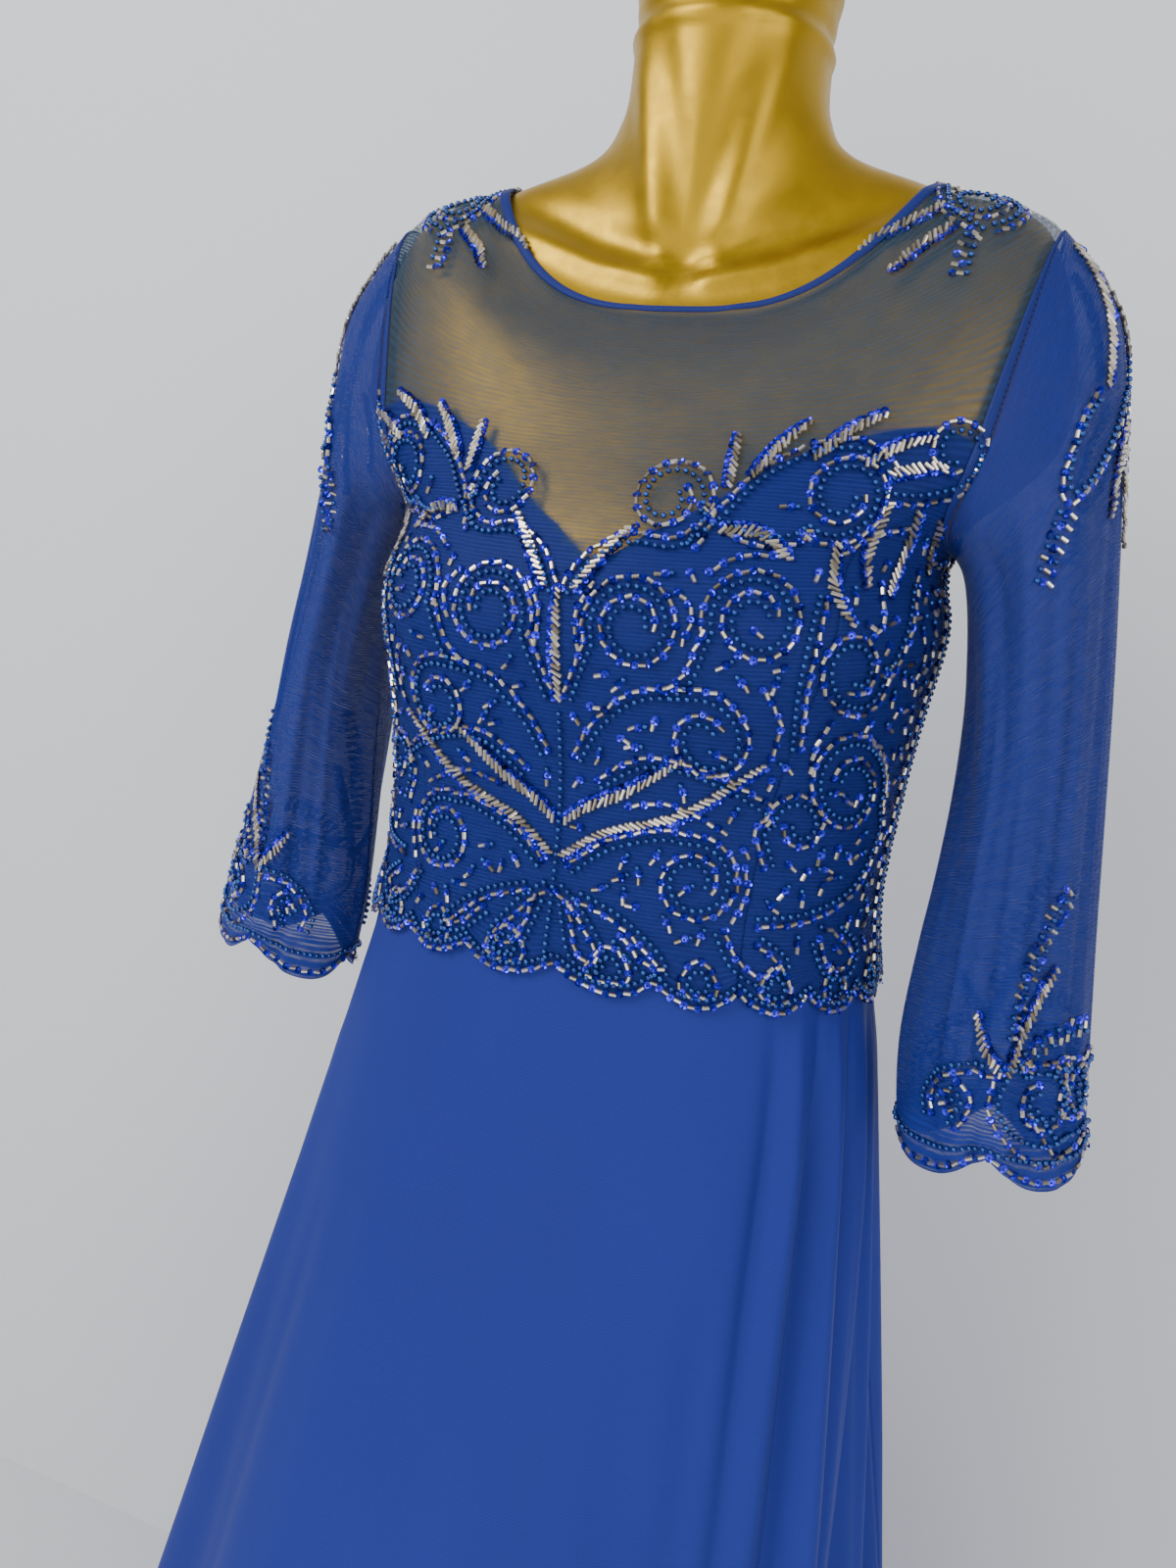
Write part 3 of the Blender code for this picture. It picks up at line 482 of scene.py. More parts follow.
def waist_row(share, back):
    """Row number of the waist seam."""
    top_z = row_point(1, share, back, 0.0).z
    above_z = row_point(2, share, back, 0.0).z
    return 1.0 + (WAIST_SEAM_Z + 0.0012 - top_z) / (above_z - top_z)


def sleeve_section(size, angle):
    """A point of a sleeve section; the angle is 0 at the armpit side and 90 in front."""
    outer_x, outer_z, inner_x, inner_z, centre_y, half_depth = size
    swing = math.cos(math.radians(angle))
    x = (outer_x + inner_x) / 2.0 - (outer_x - inner_x) / 2.0 * swing
    z = (outer_z + inner_z) / 2.0 - (outer_z - inner_z) / 2.0 * swing
    y = centre_y - half_depth * math.sin(math.radians(angle))
    return Vector((x, y, z))


SLEEVE_COLUMNS = tuple(zip(*SLEEVE_ROWS))


def sleeve_size(number, right):
    """The section at a row, for the left or the right sleeve."""
    values = [spline(column, number) for column in SLEEVE_COLUMNS]
    outer_x, outer_z, inner_x, inner_z, centre_y, half_depth, share, pull_in, lift = values
    if right:
        outer_x -= pull_in
        outer_z += RIGHT_CUFF_TILT * lift
        inner_z += lift
    return (outer_x, outer_z, inner_x, inner_z, centre_y, half_depth), max(share, 0.0)


def sleeve_fold(angle, row, right):
    """Depth of a sleeve's folds and creases."""
    depth = 0.0
    for number, (start, end, half_width, amount, first, last) in enumerate(SLEEVE_FOLDS):
        place = start + (end - start) * row / SLEEVE_LAST
        if right and number >= MAIN_FOLDS:
            place = place - RIGHT_FOLD_TURN
        fade = smooth(first, first + 2.5, row)
        if last < SLEEVE_FOLD_END:
            fade *= 1.0 - smooth(last - 2.0, last + 0.5, row)
        depth += amount * bell(angle, place, half_width) * fade
    return depth


SLEEVE_RISE = 2.3 * MM


def sleeve_point(angle, number, right, rise=0.0):
    """A point on a sleeve's outer face: number counts its rows from the shoulder down."""
    angle = angle % 360.0
    step = ARMHOLE_STEPS * (angle / 180.0 if angle <= 180.0 else (360.0 - angle) / 180.0)
    edge = row_point(ARMPIT_ROW + step, 1.0, angle > 180.0, SLEEVE_RISE, creased=False)
    size, share = sleeve_size(number, right)
    point = sleeve_section(size, angle)
    middle = sleeve_section(size, 0.0).lerp(sleeve_section(size, 180.0), 0.5)
    out = (point - middle).normalized()
    point += out * (sleeve_fold(angle, number, right) + rise * (1.0 - share))
    start, _ = sleeve_size(0.0, right)
    point += (edge - sleeve_section(start, angle)) * share
    at_cuff = smooth(SLEEVE_LAST - 1.0, SLEEVE_LAST, number)
    if at_cuff > 0.0:
        column = angle / 360.0 * 2.0 * ARMHOLE_STEPS
        from_cusp = (column + 0.5 * SCALLOP_COLUMNS) % SCALLOP_COLUMNS - 0.5 * SCALLOP_COLUMNS
        arch = CUFF_ARCH * bell(from_cusp, 0.0, CUFF_ARCH_COLUMNS)
        point.z += (arch - CUFF_DROP * scallop(column)) * at_cuff
    return point


def skirt_fold(z, turn):
    """Depth of the skirt's folds at a height and a turn."""
    depth = 0.0
    for number, fold in enumerate(SKIRT_FOLDS + SKIRT_CREASES):
        top_turn, hem_turn, start_z, half_width, amount = fold
        if z >= start_z:
            continue
        fall = (start_z - z) / (start_z - HEM_Z)
        full = fall if number < len(SKIRT_FOLDS) else min(fall / CREASE_FULL, 1.0)
        centre = top_turn + (hem_turn - top_turn) * (1.0 - (1.0 - fall) ** 2)
        gap = (turn - centre + 180.0) % 360.0 - 180.0
        narrowed = half_width * (1.0 + FOLD_NARROWING * (1.0 - fall))
        depth += amount * full**FOLD_GROWTH * bell(gap, 0.0, narrowed)
    return depth


def skirt_point(z, turn):
    """A point on the inner face of the skirt."""
    half_width, front, back, centre_x, square = table(SKIRT_ROWS, z)
    size = (-front, z, half_width, 0.0, z, back, z, square, 2.0)
    point = ring_point(size, turn)
    out = Vector((math.sin(math.radians(turn)), -math.cos(math.radians(turn)), 0.0))
    point += out * skirt_fold(z, turn)
    point.x += centre_x
    return point


# Materials
# Painted light: the net's colour over the bare form stands in for the gold's light seen through the
# threads, made lighter against the shade on the form beneath; then the net's cover there
NET_OVER_FORM_PAINTED_LIGHT = (0.028, 0.076, 0.140)
BARE_COVER = 0.60
NET_RIB_PITCH = 2.1 * MM
RIB_WAVE = 5.0


class Look:
    """A Principled material in the making."""

    def __init__(self, name, colour, roughness, **sockets):
        self.made = bpy.data.materials.new(name)
        self.made.use_nodes = True
        self.nodes = self.made.node_tree.nodes
        self.shader = self.nodes["Principled BSDF"]
        self.give("Base Color", (*colour, 1.0))
        self.give("Roughness", roughness)
        for socket, value in sockets.items():
            self.give(socket.replace("_", " "), value)

    def fill(self, socket, value):
        """Link an output to a socket, or set the socket to a constant."""
        if isinstance(value, bpy.types.NodeSocket):
            self.made.node_tree.links.new(value, socket)
        else:
            socket.default_value = value

    def give(self, name, value):
        self.fill(self.shader.inputs[name], value)

    def node(self, kind, inputs=None, **settings):
        node = self.nodes.new("ShaderNode" + kind)
        for key, value in settings.items():
            setattr(node, key, value)
        for key, value in (inputs or {}).items():
            self.fill(node.inputs[key], value)
        return node

    def math(self, operation, *values):
        return self.node("Math", dict(enumerate(values)), operation=operation).outputs[0]

    def spread(self, *values):
        """A value moved from one range, low and high, to another."""
        return self.node("MapRange", dict(enumerate(values))).outputs[0]

    def place(self, source="Object", scale=(1.0, 1.0, 1.0)):
        """Coordinates scaled along each axis."""
        coordinates = self.node("TexCoord").outputs[source]
        return self.node("Mapping", {"Scale": scale, "Vector": coordinates}).outputs[0]

    def noise(self, place, scale, detail=2.0, roughness=0.5):
        inputs = {"Scale": scale, "Detail": detail, "Roughness": roughness, "Vector": place}
        return self.node("TexNoise", inputs).outputs[0]

    def blend(self, factor, *colours):
        first, second = ((*c, 1.0) if isinstance(c, tuple) else c for c in colours)
        return self.node("Mix", {0: factor, 6: first, 7: second}, data_type="RGBA").outputs[2]

    def attribute(self, name):
        return self.node("Attribute", attribute_name=name).outputs["Fac"]

    def bump(self, height, strength, distance):
        inputs = {"Strength": strength, "Distance": distance, "Height": height}
        self.give("Normal", self.node("Bump", inputs).outputs[0])

    def ribs(self, pitch):
        """Fine ribs across a cloth, waved a little, from 0 to 1."""
        split = self.node("SeparateXYZ", {0: self.place("UV")})
        drift = self.noise(self.place("UV", (18.0, 60.0, 1.0)), 1.0, 1.0)
        turn = self.math("MULTIPLY", split.outputs[1], 2.0 * math.pi / pitch)
        push = self.math("MULTIPLY", drift, RIB_WAVE)
        wave = self.math("SINE", self.math("ADD", turn, push))
        return self.spread(wave, -1.0, 1.0, 0.0, 1.0)


def sheer_net(name, colour, thin, thick):
    """Finely ribbed see-through net. Its attribute bare makes it thinner over the bare form, with
    a painted colour there for the gold's light seen through the threads, lightened against the
    form's shade beneath, and closer below 0, where the cuff is faced."""
    look = Look(name, colour, 0.62, Sheen_Weight=0.06, Sheen_Roughness=0.5, Specular_IOR_Level=0.2)
    look.give("Sheen Tint", (0.35, 0.50, 1.0, 1.0))
    bare = look.attribute("bare")
    streak = look.noise(look.place("UV", (60.0, 700.0, 1.0)), 1.0, 2.0, 0.6)
    cover = look.math("ADD", look.math("MULTIPLY", look.ribs(NET_RIB_PITCH), 0.45), streak)
    alpha = look.spread(cover, 0.35, 1.1, thin, thick)
    thinner = look.math("ADD", look.math("MULTIPLY", bare, BARE_COVER - 1.0), 1.0)
    look.give("Alpha", look.math("MULTIPLY", alpha, thinner))
    tone = look.noise(look.place("Object", (14.0, 14.0, 9.0)), 1.0)
    dyed = look.blend(tone, tuple(0.80 * c for c in colour), colour)
    # Over the bare form the net takes a painted colour for the gold's light seen through it
    look.give("Base Color", look.blend(bare, dyed, NET_OVER_FORM_PAINTED_LIGHT))
    look.bump(cover, 0.30, 0.0004)
    return look.made


def close_cloth(name, colour, roughness, pitch, sheen):
    """Opaque cloth with a fine crosswise texture."""
    look = Look(
        name, colour, roughness, Sheen_Weight=sheen, Sheen_Roughness=0.45, Specular_IOR_Level=0.28
    )
    look.give("Sheen Tint", (0.55, 0.68, 1.0, 1.0))
    grain = look.noise(look.place("UV", (900.0, 1500.0, 1.0)), 1.0, 2.0, 0.7)
    tone = look.noise(look.place("Object", (6.0, 6.0, 3.0)), 1.0, 3.0)
    height = look.math("ADD", look.math("MULTIPLY", look.ribs(pitch), 0.6), grain)
    mixed = look.math("MULTIPLY", look.math("ADD", grain, tone), 0.5)
    shade = look.spread(mixed, 0.3, 0.7, 0.0, 1.0)
    deep = tuple(0.84 * c for c in colour)
    pale = tuple(min(1.0, 1.16 * c) for c in colour)
    look.give("Base Color", look.blend(shade, deep, pale))
    look.bump(height, 0.22, 0.0003)
    return look.made


def satin_gold():
    """Moulded gold skin of the dress form, softly glossy with a faint orange peel."""
    look = Look(
        "form_gold", (0.42, 0.25, 0.008), 0.38, Metallic=0.84, Coat_Weight=0.08, Coat_Roughness=0.3
    )
    place = look.place()
    slow = look.noise(place, 14.0, 3.0)
    fine = look.noise(place, 90.0, 3.0)
    look.give("Base Color", look.blend(slow, (0.39, 0.232, 0.006), (0.48, 0.290, 0.010)))
    look.give("Roughness", look.spread(fine, 0.3, 0.7, 0.34, 0.46))
    look.bump(look.noise(place, 420.0), 0.10, 0.0004)
    return look.made


def bead_finish(name, pale, deep, roughness, metallic, coat):
    """Bead surface whose colour differs a little from bead to bead."""
    look = Look(name, pale, roughness, Metallic=metallic, Coat_Weight=coat, Coat_Roughness=0.06)
    look.give("Base Color", look.blend(look.attribute("tint"), deep, pale))
    fine = look.noise(look.place(), 900.0, 1.0)
    look.give("Roughness", look.spread(fine, 0.3, 0.7, roughness * 0.8, roughness * 1.3))
    return look.made


def brushed_steel(name, colour, roughness):
    """Steel with a fine turned brushing."""
    look = Look(name, colour, roughness, Metallic=1.0)
    lines = look.noise(look.place("Object", (30.0, 30.0, 900.0)), 1.0)
    wear = look.noise(look.place(), 25.0, 4.0)
    look.give("Roughness", look.spread(wear, 0.3, 0.7, roughness * 0.8, roughness * 1.4))
    look.give("Base Color", look.blend(lines, tuple(0.8 * c for c in colour), colour))
    look.bump(lines, 0.08, 0.0002)
    return look.made


NET = sheer_net("net", (0.0110, 0.0260, 0.2150), 0.30, 0.76)
# The sleeves' net is the bodice's net with closer cover and a lighter colour: painted light for the
# light that comes through the thin sleeves from behind
SLEEVE_NET_PAINTED_LIGHT = sheer_net("sleeve_net", (0.0135, 0.0320, 0.2600), 0.42, 0.83)
LINING = close_cloth("lining", (0.0100, 0.0220, 0.2050), 0.6, 0.0024, 0.04)
CREPE = close_cloth("crepe", (0.0115, 0.0235, 0.2250), 0.72, 0.0016, 0.06)
BAND = close_cloth("net_band", (0.0085, 0.0190, 0.1650), 0.6, 0.0013, 0.04)
GOLD = satin_gold()
STEEL = brushed_steel("steel", (0.55, 0.55, 0.56), 0.28)
ZIP_CLOTH = close_cloth("zip_cloth", (0.008, 0.018, 0.130), 0.6, 0.0012, 0.03)
ZIP_METAL = brushed_steel("zip_metal", (0.03, 0.06, 0.24), 0.35)
THREAD = bead_finish("thread", (0.013, 0.030, 0.230), (0.010, 0.023, 0.180), 0.60, 0.0, 0.0)
ZIP_COIL = bead_finish("zip_coil", (0.010, 0.022, 0.170), (0.007, 0.016, 0.120), 0.50, 0.0, 0.0)
PEARL = bead_finish("pearl", (0.018, 0.095, 0.400), (0.007, 0.036, 0.220), 0.15, 0.75, 0.6)
SEQUIN = bead_finish("sequin", (0.050, 0.036, 0.820), (0.007, 0.004, 0.250), 0.13, 0.94, 0.08)
BUGLE = bead_finish("bugle", (0.860, 0.800, 0.690), (0.260, 0.220, 0.160), 0.20, 0.80, 0.4)


# Mesh helpers
def grid_mesh(columns, rows, place, bare=None):
    """A grid moved into place, with its real lengths as its UV map. The bare function tells
    how far a place of the net has no lining under it."""
    made = bmesh.new()
    bmesh.ops.create_grid(made, x_segments=columns, y_segments=rows, size=0.5)
    spots = {}
    bare_layer = made.verts.layers.float.new("bare") if bare else None
    for vert in made.verts:
        column = round((vert.co.x + 0.5) * columns)
        row = round((vert.co.y + 0.5) * rows)
        vert.co = place(column, row)
        spots[vert.index] = (column, row)
        if bare:
            vert[bare_layer] = bare(column, row)
    made.verts.index_update()
    points = {spots[v.index]: v.co.copy() for v in made.verts}
    middle = columns // 2
    heights = [0.0]
    for row in range(rows):
        heights.append(heights[-1] + (points[middle, row + 1] - points[middle, row]).length)
    widths = {}
    for row in range(rows + 1):
        total = 0.0
        widths[0, row] = 0.0
        for column in range(columns):
            total += (points[column + 1, row] - points[column, row]).length
            widths[column + 1, row] = total
        for column in range(columns + 1):
            widths[column, row] -= total / 2.0
    layer = made.loops.layers.uv.new("cloth")
    for face in made.faces:
        for loop in face.loops:
            column, row = spots[loop.vert.index]
            loop[layer].uv = (widths[column, row], heights[row])
    bmesh.ops.remove_doubles(made, verts=made.verts, dist=0.00001)
    bmesh.ops.dissolve_degenerate(made, edges=made.edges, dist=0.00001)
    return made


def keep(name, made, finish, replaced=(), body=DRESS):
    """Put a bmesh in the scene as a finished piece."""
    mesh = bpy.data.meshes.new(name)
    made.to_mesh(mesh)
    made.free()
    mesh.shade_smooth()
    thing = bpy.data.objects.new(name, mesh)
    bpy.context.scene.collection.objects.link(thing)
    mesh.materials.append(finish)
    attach(thing, body)
    if replaced:
        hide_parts(*replaced)
    return thing


def sew(name, grid, finish, nodes, wall, side=1.0, flipped=False):
    """Put cloth in the scene with its wall, outwards, or inwards with a side of -1."""
    if flipped:
        bmesh.ops.reverse_faces(grid, faces=grid.faces)
    thing = keep(name, grid, finish, nodes)
    modifier = thing.modifiers.new("wall", "SOLIDIFY")
    modifier.thickness = wall
    modifier.offset = side
    return thing


# Bodice
FINE = 5


def build_bodice():
    made = {}

    def panel(name, columns, rows, edges, back, node, mirrored=False):
        top = rows[1]
        steps = int(round((top - rows[0]) * FINE))
        sign = -1.0 if mirrored else 1.0

        def spot(column, row):
            number = rows[0] + (top - rows[0]) * row / steps
            left, right = edges(number)
            return number, sign * (left + (right - left) * column / (columns * FINE))

        def place(column, row):
            number, share = spot(column, row)
            first = 1.0 - smooth(0.0, 1.0, number)
            drop = SCALLOP_DROP * scallop(column / FINE) * first
            return row_point(number, share, back, NET_RISE, drop)

        def bare(column, row):
            number, share = spot(column, row)
            return smooth(-0.1, 0.1, number - lining_top(share, back))

        grid = grid_mesh(columns * FINE, steps, place, bare)
        made[name] = sew(name, grid, NET, (node,), NET_THIN, flipped=mirrored)

    def centre(row):
        edge = princess_share(row) - seam_share(row)
        return -edge, edge

    def side(row):
        gap = seam_share(row)
        outer = 1.0 - gap * (row <= ARMPIT_ROW)
        return min(princess_share(row) + gap, outer), outer

    def rear(row):
        gap = seam_share(row)
        return 1.0 - gap * (row <= ARMPIT_ROW or row >= SHOULDER_ROW), ZIP_SEAM_GAPS * gap

    panel("net_centre_front", 16, (0, TOP_ROW), centre, False, "bodice_centre_front")
    side_rows = (0, SIDE_FRONT_TOP)
    panel("net_side_front_left", 12, side_rows, side, False, "bodice_side_front_left")
    panel("net_side_front_right", 12, side_rows, side, False, "bodice_side_front_right", True)
    panel("net_back_left", 20, (0, TOP_ROW), rear, True, "bodice_back_left")
    panel("net_back_right", 20, (0, TOP_ROW), rear, True, "bodice_back_right", True)
    return made


LINING_SIDE = 0.998


def build_lining():
    steps = 40
    front_half = 48
    back_columns = 44

    def rise_place(share, row, back):
        start = waist_row(share, back)
        top = lining_top(share, back)
        return lined(start + (top - start) * row / steps, share, back, LINING_RISE)

    def front(column, row):
        return rise_place(LINING_SIDE * (column / front_half - 1.0), row, False)

    def zip_side(row):
        start = waist_row(TAPE_FAR_SHARE, True)
        number = start + (lining_top(TAPE_FAR_SHARE, True) - start) * row / steps
        near_share = ZIP_SEAM_GAPS * seam_share(number)
        near = lined(number, near_share, True, LINING_RISE).x
        far = lined(number, TAPE_FAR_SHARE, True, LINING_RISE).x
        part = (ZIP_HALF + TAPE_ROOM - near) / (far - near)
        return near_share + (TAPE_FAR_SHARE - near_share) * part

    def back(column, row, sign=1.0):
        share = LINING_SIDE + (zip_side(row) - LINING_SIDE) * column / back_columns
        return rise_place(sign * share, row, True)

    def back_right(column, row):
        return back(column, row, -1.0)

    panels = (
        ("lining_body_front", 2 * front_half, front, "lining_front"),
        ("lining_body_left", back_columns, back, "lining_back_left"),
        ("lining_body_right", back_columns, back_right, "lining_back_right"),
    )
    for name, columns, place, node in panels:
        grid = grid_mesh(columns, steps, place)
        sew(name, grid, LINING, (node,), LINING_THIN, flipped=place is back_right)


STRIP_TURN = 179.3


def build_binding():
    """Folded strip of net on the edge of the neckline, round it from the zip to the zip."""
    profile = (
        (18.73, 0.0008),
        (18.77, 0.0013),
        (18.84, 0.0015),
        (18.94, 0.0016),
        (19.0, 0.0012),
        (19.0, 0.0003),
    )
    columns = 300

    def place(column, row):
        number, rise = profile[row]
        back, share = turn_share(STRIP_TURN * (2.0 * column / columns - 1.0))
        return row_point(number, share, back, rise)

    strip = grid_mesh(columns, len(profile) - 1, place)
    sew("neck_strip", strip, BAND, ("neck_binding",), STRIP_THIN)


def build_armhole_band(right):
    """Raised seam band on the bodice side of an armhole."""
    columns = 120
    profile = ((1.0, 0.0009), (0.8, 0.0013), (0.2, 0.0013), (0.0, 0.0009))
    sign = -1.0 if right else 1.0

    def place(column, row):
        back = column > columns // 2
        step = ARMHOLE_STEPS * (column if not back else columns - column) / (columns / 2.0)
        width, rise = profile[row]
        number = ARMPIT_ROW + step
        return row_point(number, sign * band_share(number, width), back, rise, creased=False)

    strip = grid_mesh(columns, len(profile) - 1, place)
    name = "armhole_band_right" if right else "armhole_band_left"
    sew(name, strip, BAND, (), NET_THIN, flipped=not right)


def build_sleeve(right):
    columns = 128
    rows = 80

    def place(column, row):
        angle = 360.0 * column / columns
        number = SLEEVE_LAST * (1.0 - row / rows)
        point = sleeve_point(angle, number, right)
        if right:
            point.x = -point.x
        return point

    def faced(column, row):
        number = SLEEVE_LAST * (1.0 - row / rows)
        return -smooth(SLEEVE_LAST - 1.3, SLEEVE_LAST - 0.5, number)

    tube = grid_mesh(columns, rows, place, faced)
    node = "sleeve_right" if right else "sleeve_left"
    # The sleeve's net is the lighter copy, with painted light through the cloth
    sew("net_" + node, tube, SLEEVE_NET_PAINTED_LIGHT, (node,), SLEEVE_THIN, -1.0, right)


SKIRT_SEAM = 0.02
SIDE_CROWDING = (0.132, 0.088)


def build_skirt():
    rows = 90

    def spread(part):
        """The turn of a column; columns stand closer at the sides, where the folds are."""
        even = 2.0 * math.pi * part
        crowd = SIDE_CROWDING[0] + SIDE_CROWDING[1] * math.cos(even)
        return math.degrees(even + crowd * math.sin(2.0 * even))

    def panel(name, node, first, last, columns):
        def place(column, row):
            turn = spread(first + (last - first) * column / columns)
            if column == 0:
                turn += SKIRT_SEAM
            if column == columns:
                turn -= SKIRT_SEAM
            part = row / rows
            z = HEM_Z + (WAIST_SEAM_Z - HEM_Z) * part ** 0.9
            return skirt_point(z, turn)

        sew(name, grid_mesh(columns, rows, place), CREPE, (node,), CREPE_THIN)

    panel("crepe_front", "skirt_front", -0.25, 0.25, 220)
    panel("crepe_back_left", "skirt_back_left", 0.25, 0.50, 120)
    panel("crepe_back_right", "skirt_back_right", -0.50, -0.25, 120)


# Dress form, smooth, with its collarbones and the soft cords of the neck
COLLARBONE = ((0.012, 1.392), (0.050, 1.400), (0.100, 1.420), (0.150, 1.436))


NECK_LOW_Z = 1.40
NECK_HEIGHT = 0.13


def form_relief(point):
    """Height of the moulded forms of the chest and neck."""
    x = abs(point.x)
    relief = 0.0
    if point.y < 0.02 and 1.33 < point.z < 1.50:
        for (x0, z0), (x1, z1) in zip(COLLARBONE, COLLARBONE[1:]):
            if x0 <= x < x1 or (x < x0 and x0 == COLLARBONE[0][0]):
                line = z0 + (z1 - z0) * max(0.0, x - x0) / (x1 - x0)
                fade = smooth(0.0, 0.016, x) * (1.0 - smooth(0.085, 0.125, x))
                relief += 0.0030 * bell(point.z, line, 0.0065) * fade
                relief -= 0.0026 * bell(point.z, line + 0.016, 0.0085) * fade
        relief -= 0.0022 * bell(x, 0.0, 0.010) * bell(point.z, 1.402, 0.010)
    if point.z > NECK_LOW_Z:
        lift = (point.z - NECK_LOW_Z) / NECK_HEIGHT
        cord_x = 0.014 + 0.030 * lift
        if point.y < 0.03:
            relief += 0.0022 * bell(x, cord_x, 0.008) * (1.0 - smooth(0.7, 1.1, lift))
            relief -= 0.0016 * bell(x, cord_x - 0.016, 0.009) * (1.0 - smooth(0.7, 1.1, lift))
        relief += 0.0016 * bell(point.z, 1.522, 0.0035)
        relief -= 0.0012 * bell(point.z, 1.530, 0.0040)
    return relief


FORM_AXIS_Y = 0.008


def build_form():
    columns = 176
    rows = 190
    top = len(FORM_ROWS) - 1

    def place(column, row):
        turn = 360.0 * (column % columns) / columns
        turn = turn - 360.0 if turn > 180.0 else turn
        level = top * min(max(row - 1, 0), rows - 2) / (rows - 2)
        point = form_point(level, turn)
        if row in (0, rows):
            return Vector((0.0, FORM_AXIS_Y, point.z))
        return point + form_normal(level, turn) * form_relief(point)

    keep("gold_form", grid_mesh(columns, rows, place), GOLD, ("form_torso",))


NET_PIECES = build_bodice()
build_lining()
build_binding()
for is_right in (False, True):
    build_armhole_band(is_right)
for is_right in (False, True):
    build_sleeve(is_right)
build_skirt()
build_form()

SOLID_LOOKS = (
    (STEEL, ("stand_base", "stand_pole", "stand_collar")),
    (ZIP_METAL, ("zip_slider", "zip_pull")),
)
for finish, nodes in SOLID_LOOKS:
    for node in nodes:
        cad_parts[node].material_slots[0].material = finish

# Beadwork. A place on a chart is centimetres round the cloth from its middle line, and
# centimetres of height: above one metre on the bodice, along the sleeve on a sleeve.
PEARL_SIZE = 3.1 * MM
SEQUIN_SIZE = 4.7 * MM
BUGLE_SIZE = (3.6 * MM, 2.15 * MM)
PEARL_SPREAD = (0.94, 1.05)
SEQUIN_SPREAD = (0.94, 1.04)
BUGLE_SPREAD = (0.92, 1.08)
PEARL_SEAT = 0.42
BEAD_LIFT = 0.9
SEQUIN_TILT = 0.42
BUGLE_TURN = 0.28
ROW_SLIP = 0.35 * MM
ROW_GAP = 0.46
PEARL_STEP = 4.3 * MM
MIXED_STEP = 3.8 * MM
FROND_STEP = 3.1 * MM
FROND_THICK = 0.94
FROND_LEAN = 1.15
FROND_EDGE = 0.34
FROND_EDGE_STEP = 3.0 * MM
SPRIG_STEP = 5.2 * MM
SPRIG_ASIDE = (3.2 * MM, 3.4 * MM, 3.4 * MM)
DATUM_Z = 1.0


class Chart:
    """Cloth laid out flat, so that a motif keeps its real size on it. Its heights are above
    one metre, or along the cloth on the column that lengthwise names."""

    STEP = 1.5 * MM

    def __init__(self, place, columns, rows, lengthwise=None):
        points = np.array(
            [[tuple(place(c / columns, r / rows)) for c in range(columns + 1)] for r in range(rows + 1)]
        )
        normals = np.cross(np.gradient(points, axis=1), np.gradient(points, axis=0))
        normals /= np.maximum(np.linalg.norm(normals, axis=2, keepdims=True), 1e-9)
        away = points - points.mean(axis=1, keepdims=True)
        normals *= np.sign(np.sum(normals * away))
        steps = np.linalg.norm(np.diff(points, axis=1), axis=2)
        across = np.concatenate([np.zeros((rows + 1, 1)), np.cumsum(steps, axis=1)], axis=1)
        across -= across[:, columns // 2 : columns // 2 + 1]
        if lengthwise is None:
            height = points[:, :, 2] - DATUM_Z
        else:
            column = int(round(lengthwise * columns))
            runs = np.linalg.norm(np.diff(points[:, column], axis=0), axis=1)
            length = np.concatenate([[0.0], np.cumsum(runs)])
            height = np.repeat(length[:, None], columns + 1, axis=1)
        self.ends = (height[:, -1], across[:, -1])
        self.half = int(np.abs(across).max() / self.STEP) + 1
        marks = np.arange(-self.half, self.half + 1) * self.STEP
        values = np.concatenate([points, normals, height[:, :, None]], axis=2)
        self.cloth = np.array(
            [[np.interp(marks, across[r], values[r, :, k]) for k in range(7)] for r in range(rows + 1)]
        )

    def edge(self, h):
        """Half the cloth's width at a height."""
        return float(np.interp(h * CM, *self.ends)) / CM

    def place(self, s, h):
        """The point and the outward direction at a place of the chart."""
        mark = min(max(s * CM / self.STEP + self.half, 0.0), 2.0 * self.half - 0.001)
        k = int(mark)
        column = self.cloth[:, :, k] + (self.cloth[:, :, k + 1] - self.cloth[:, :, k]) * (mark - k)
        found = [np.interp(h * CM, column[:, 6], column[:, n]) for n in range(6)]
        return Vector(found[:3]), Vector(found[3:]).normalized()


class Patch:
    """A flat piece held against the cloth, for motifs on a shoulder."""

    def __init__(self, tree, centre, outward, upward):
        self.tree = tree
        self.centre = Vector(centre)
        self.u = Vector(outward).normalized()
        self.v = Vector(upward)
        self.v = (self.v - self.u * self.v.dot(self.u)).normalized()
        self.out = Vector((0.0, -0.35, 1.0)).normalized()

    def place(self, s, h):
        point = self.centre + self.u * (s * CM) + self.v * (h * CM)
        found, normal, _, _ = self.tree.find_nearest(point)
        if normal.dot(self.out) < 0.0:
            normal = -normal
        return found, normal.normalized()


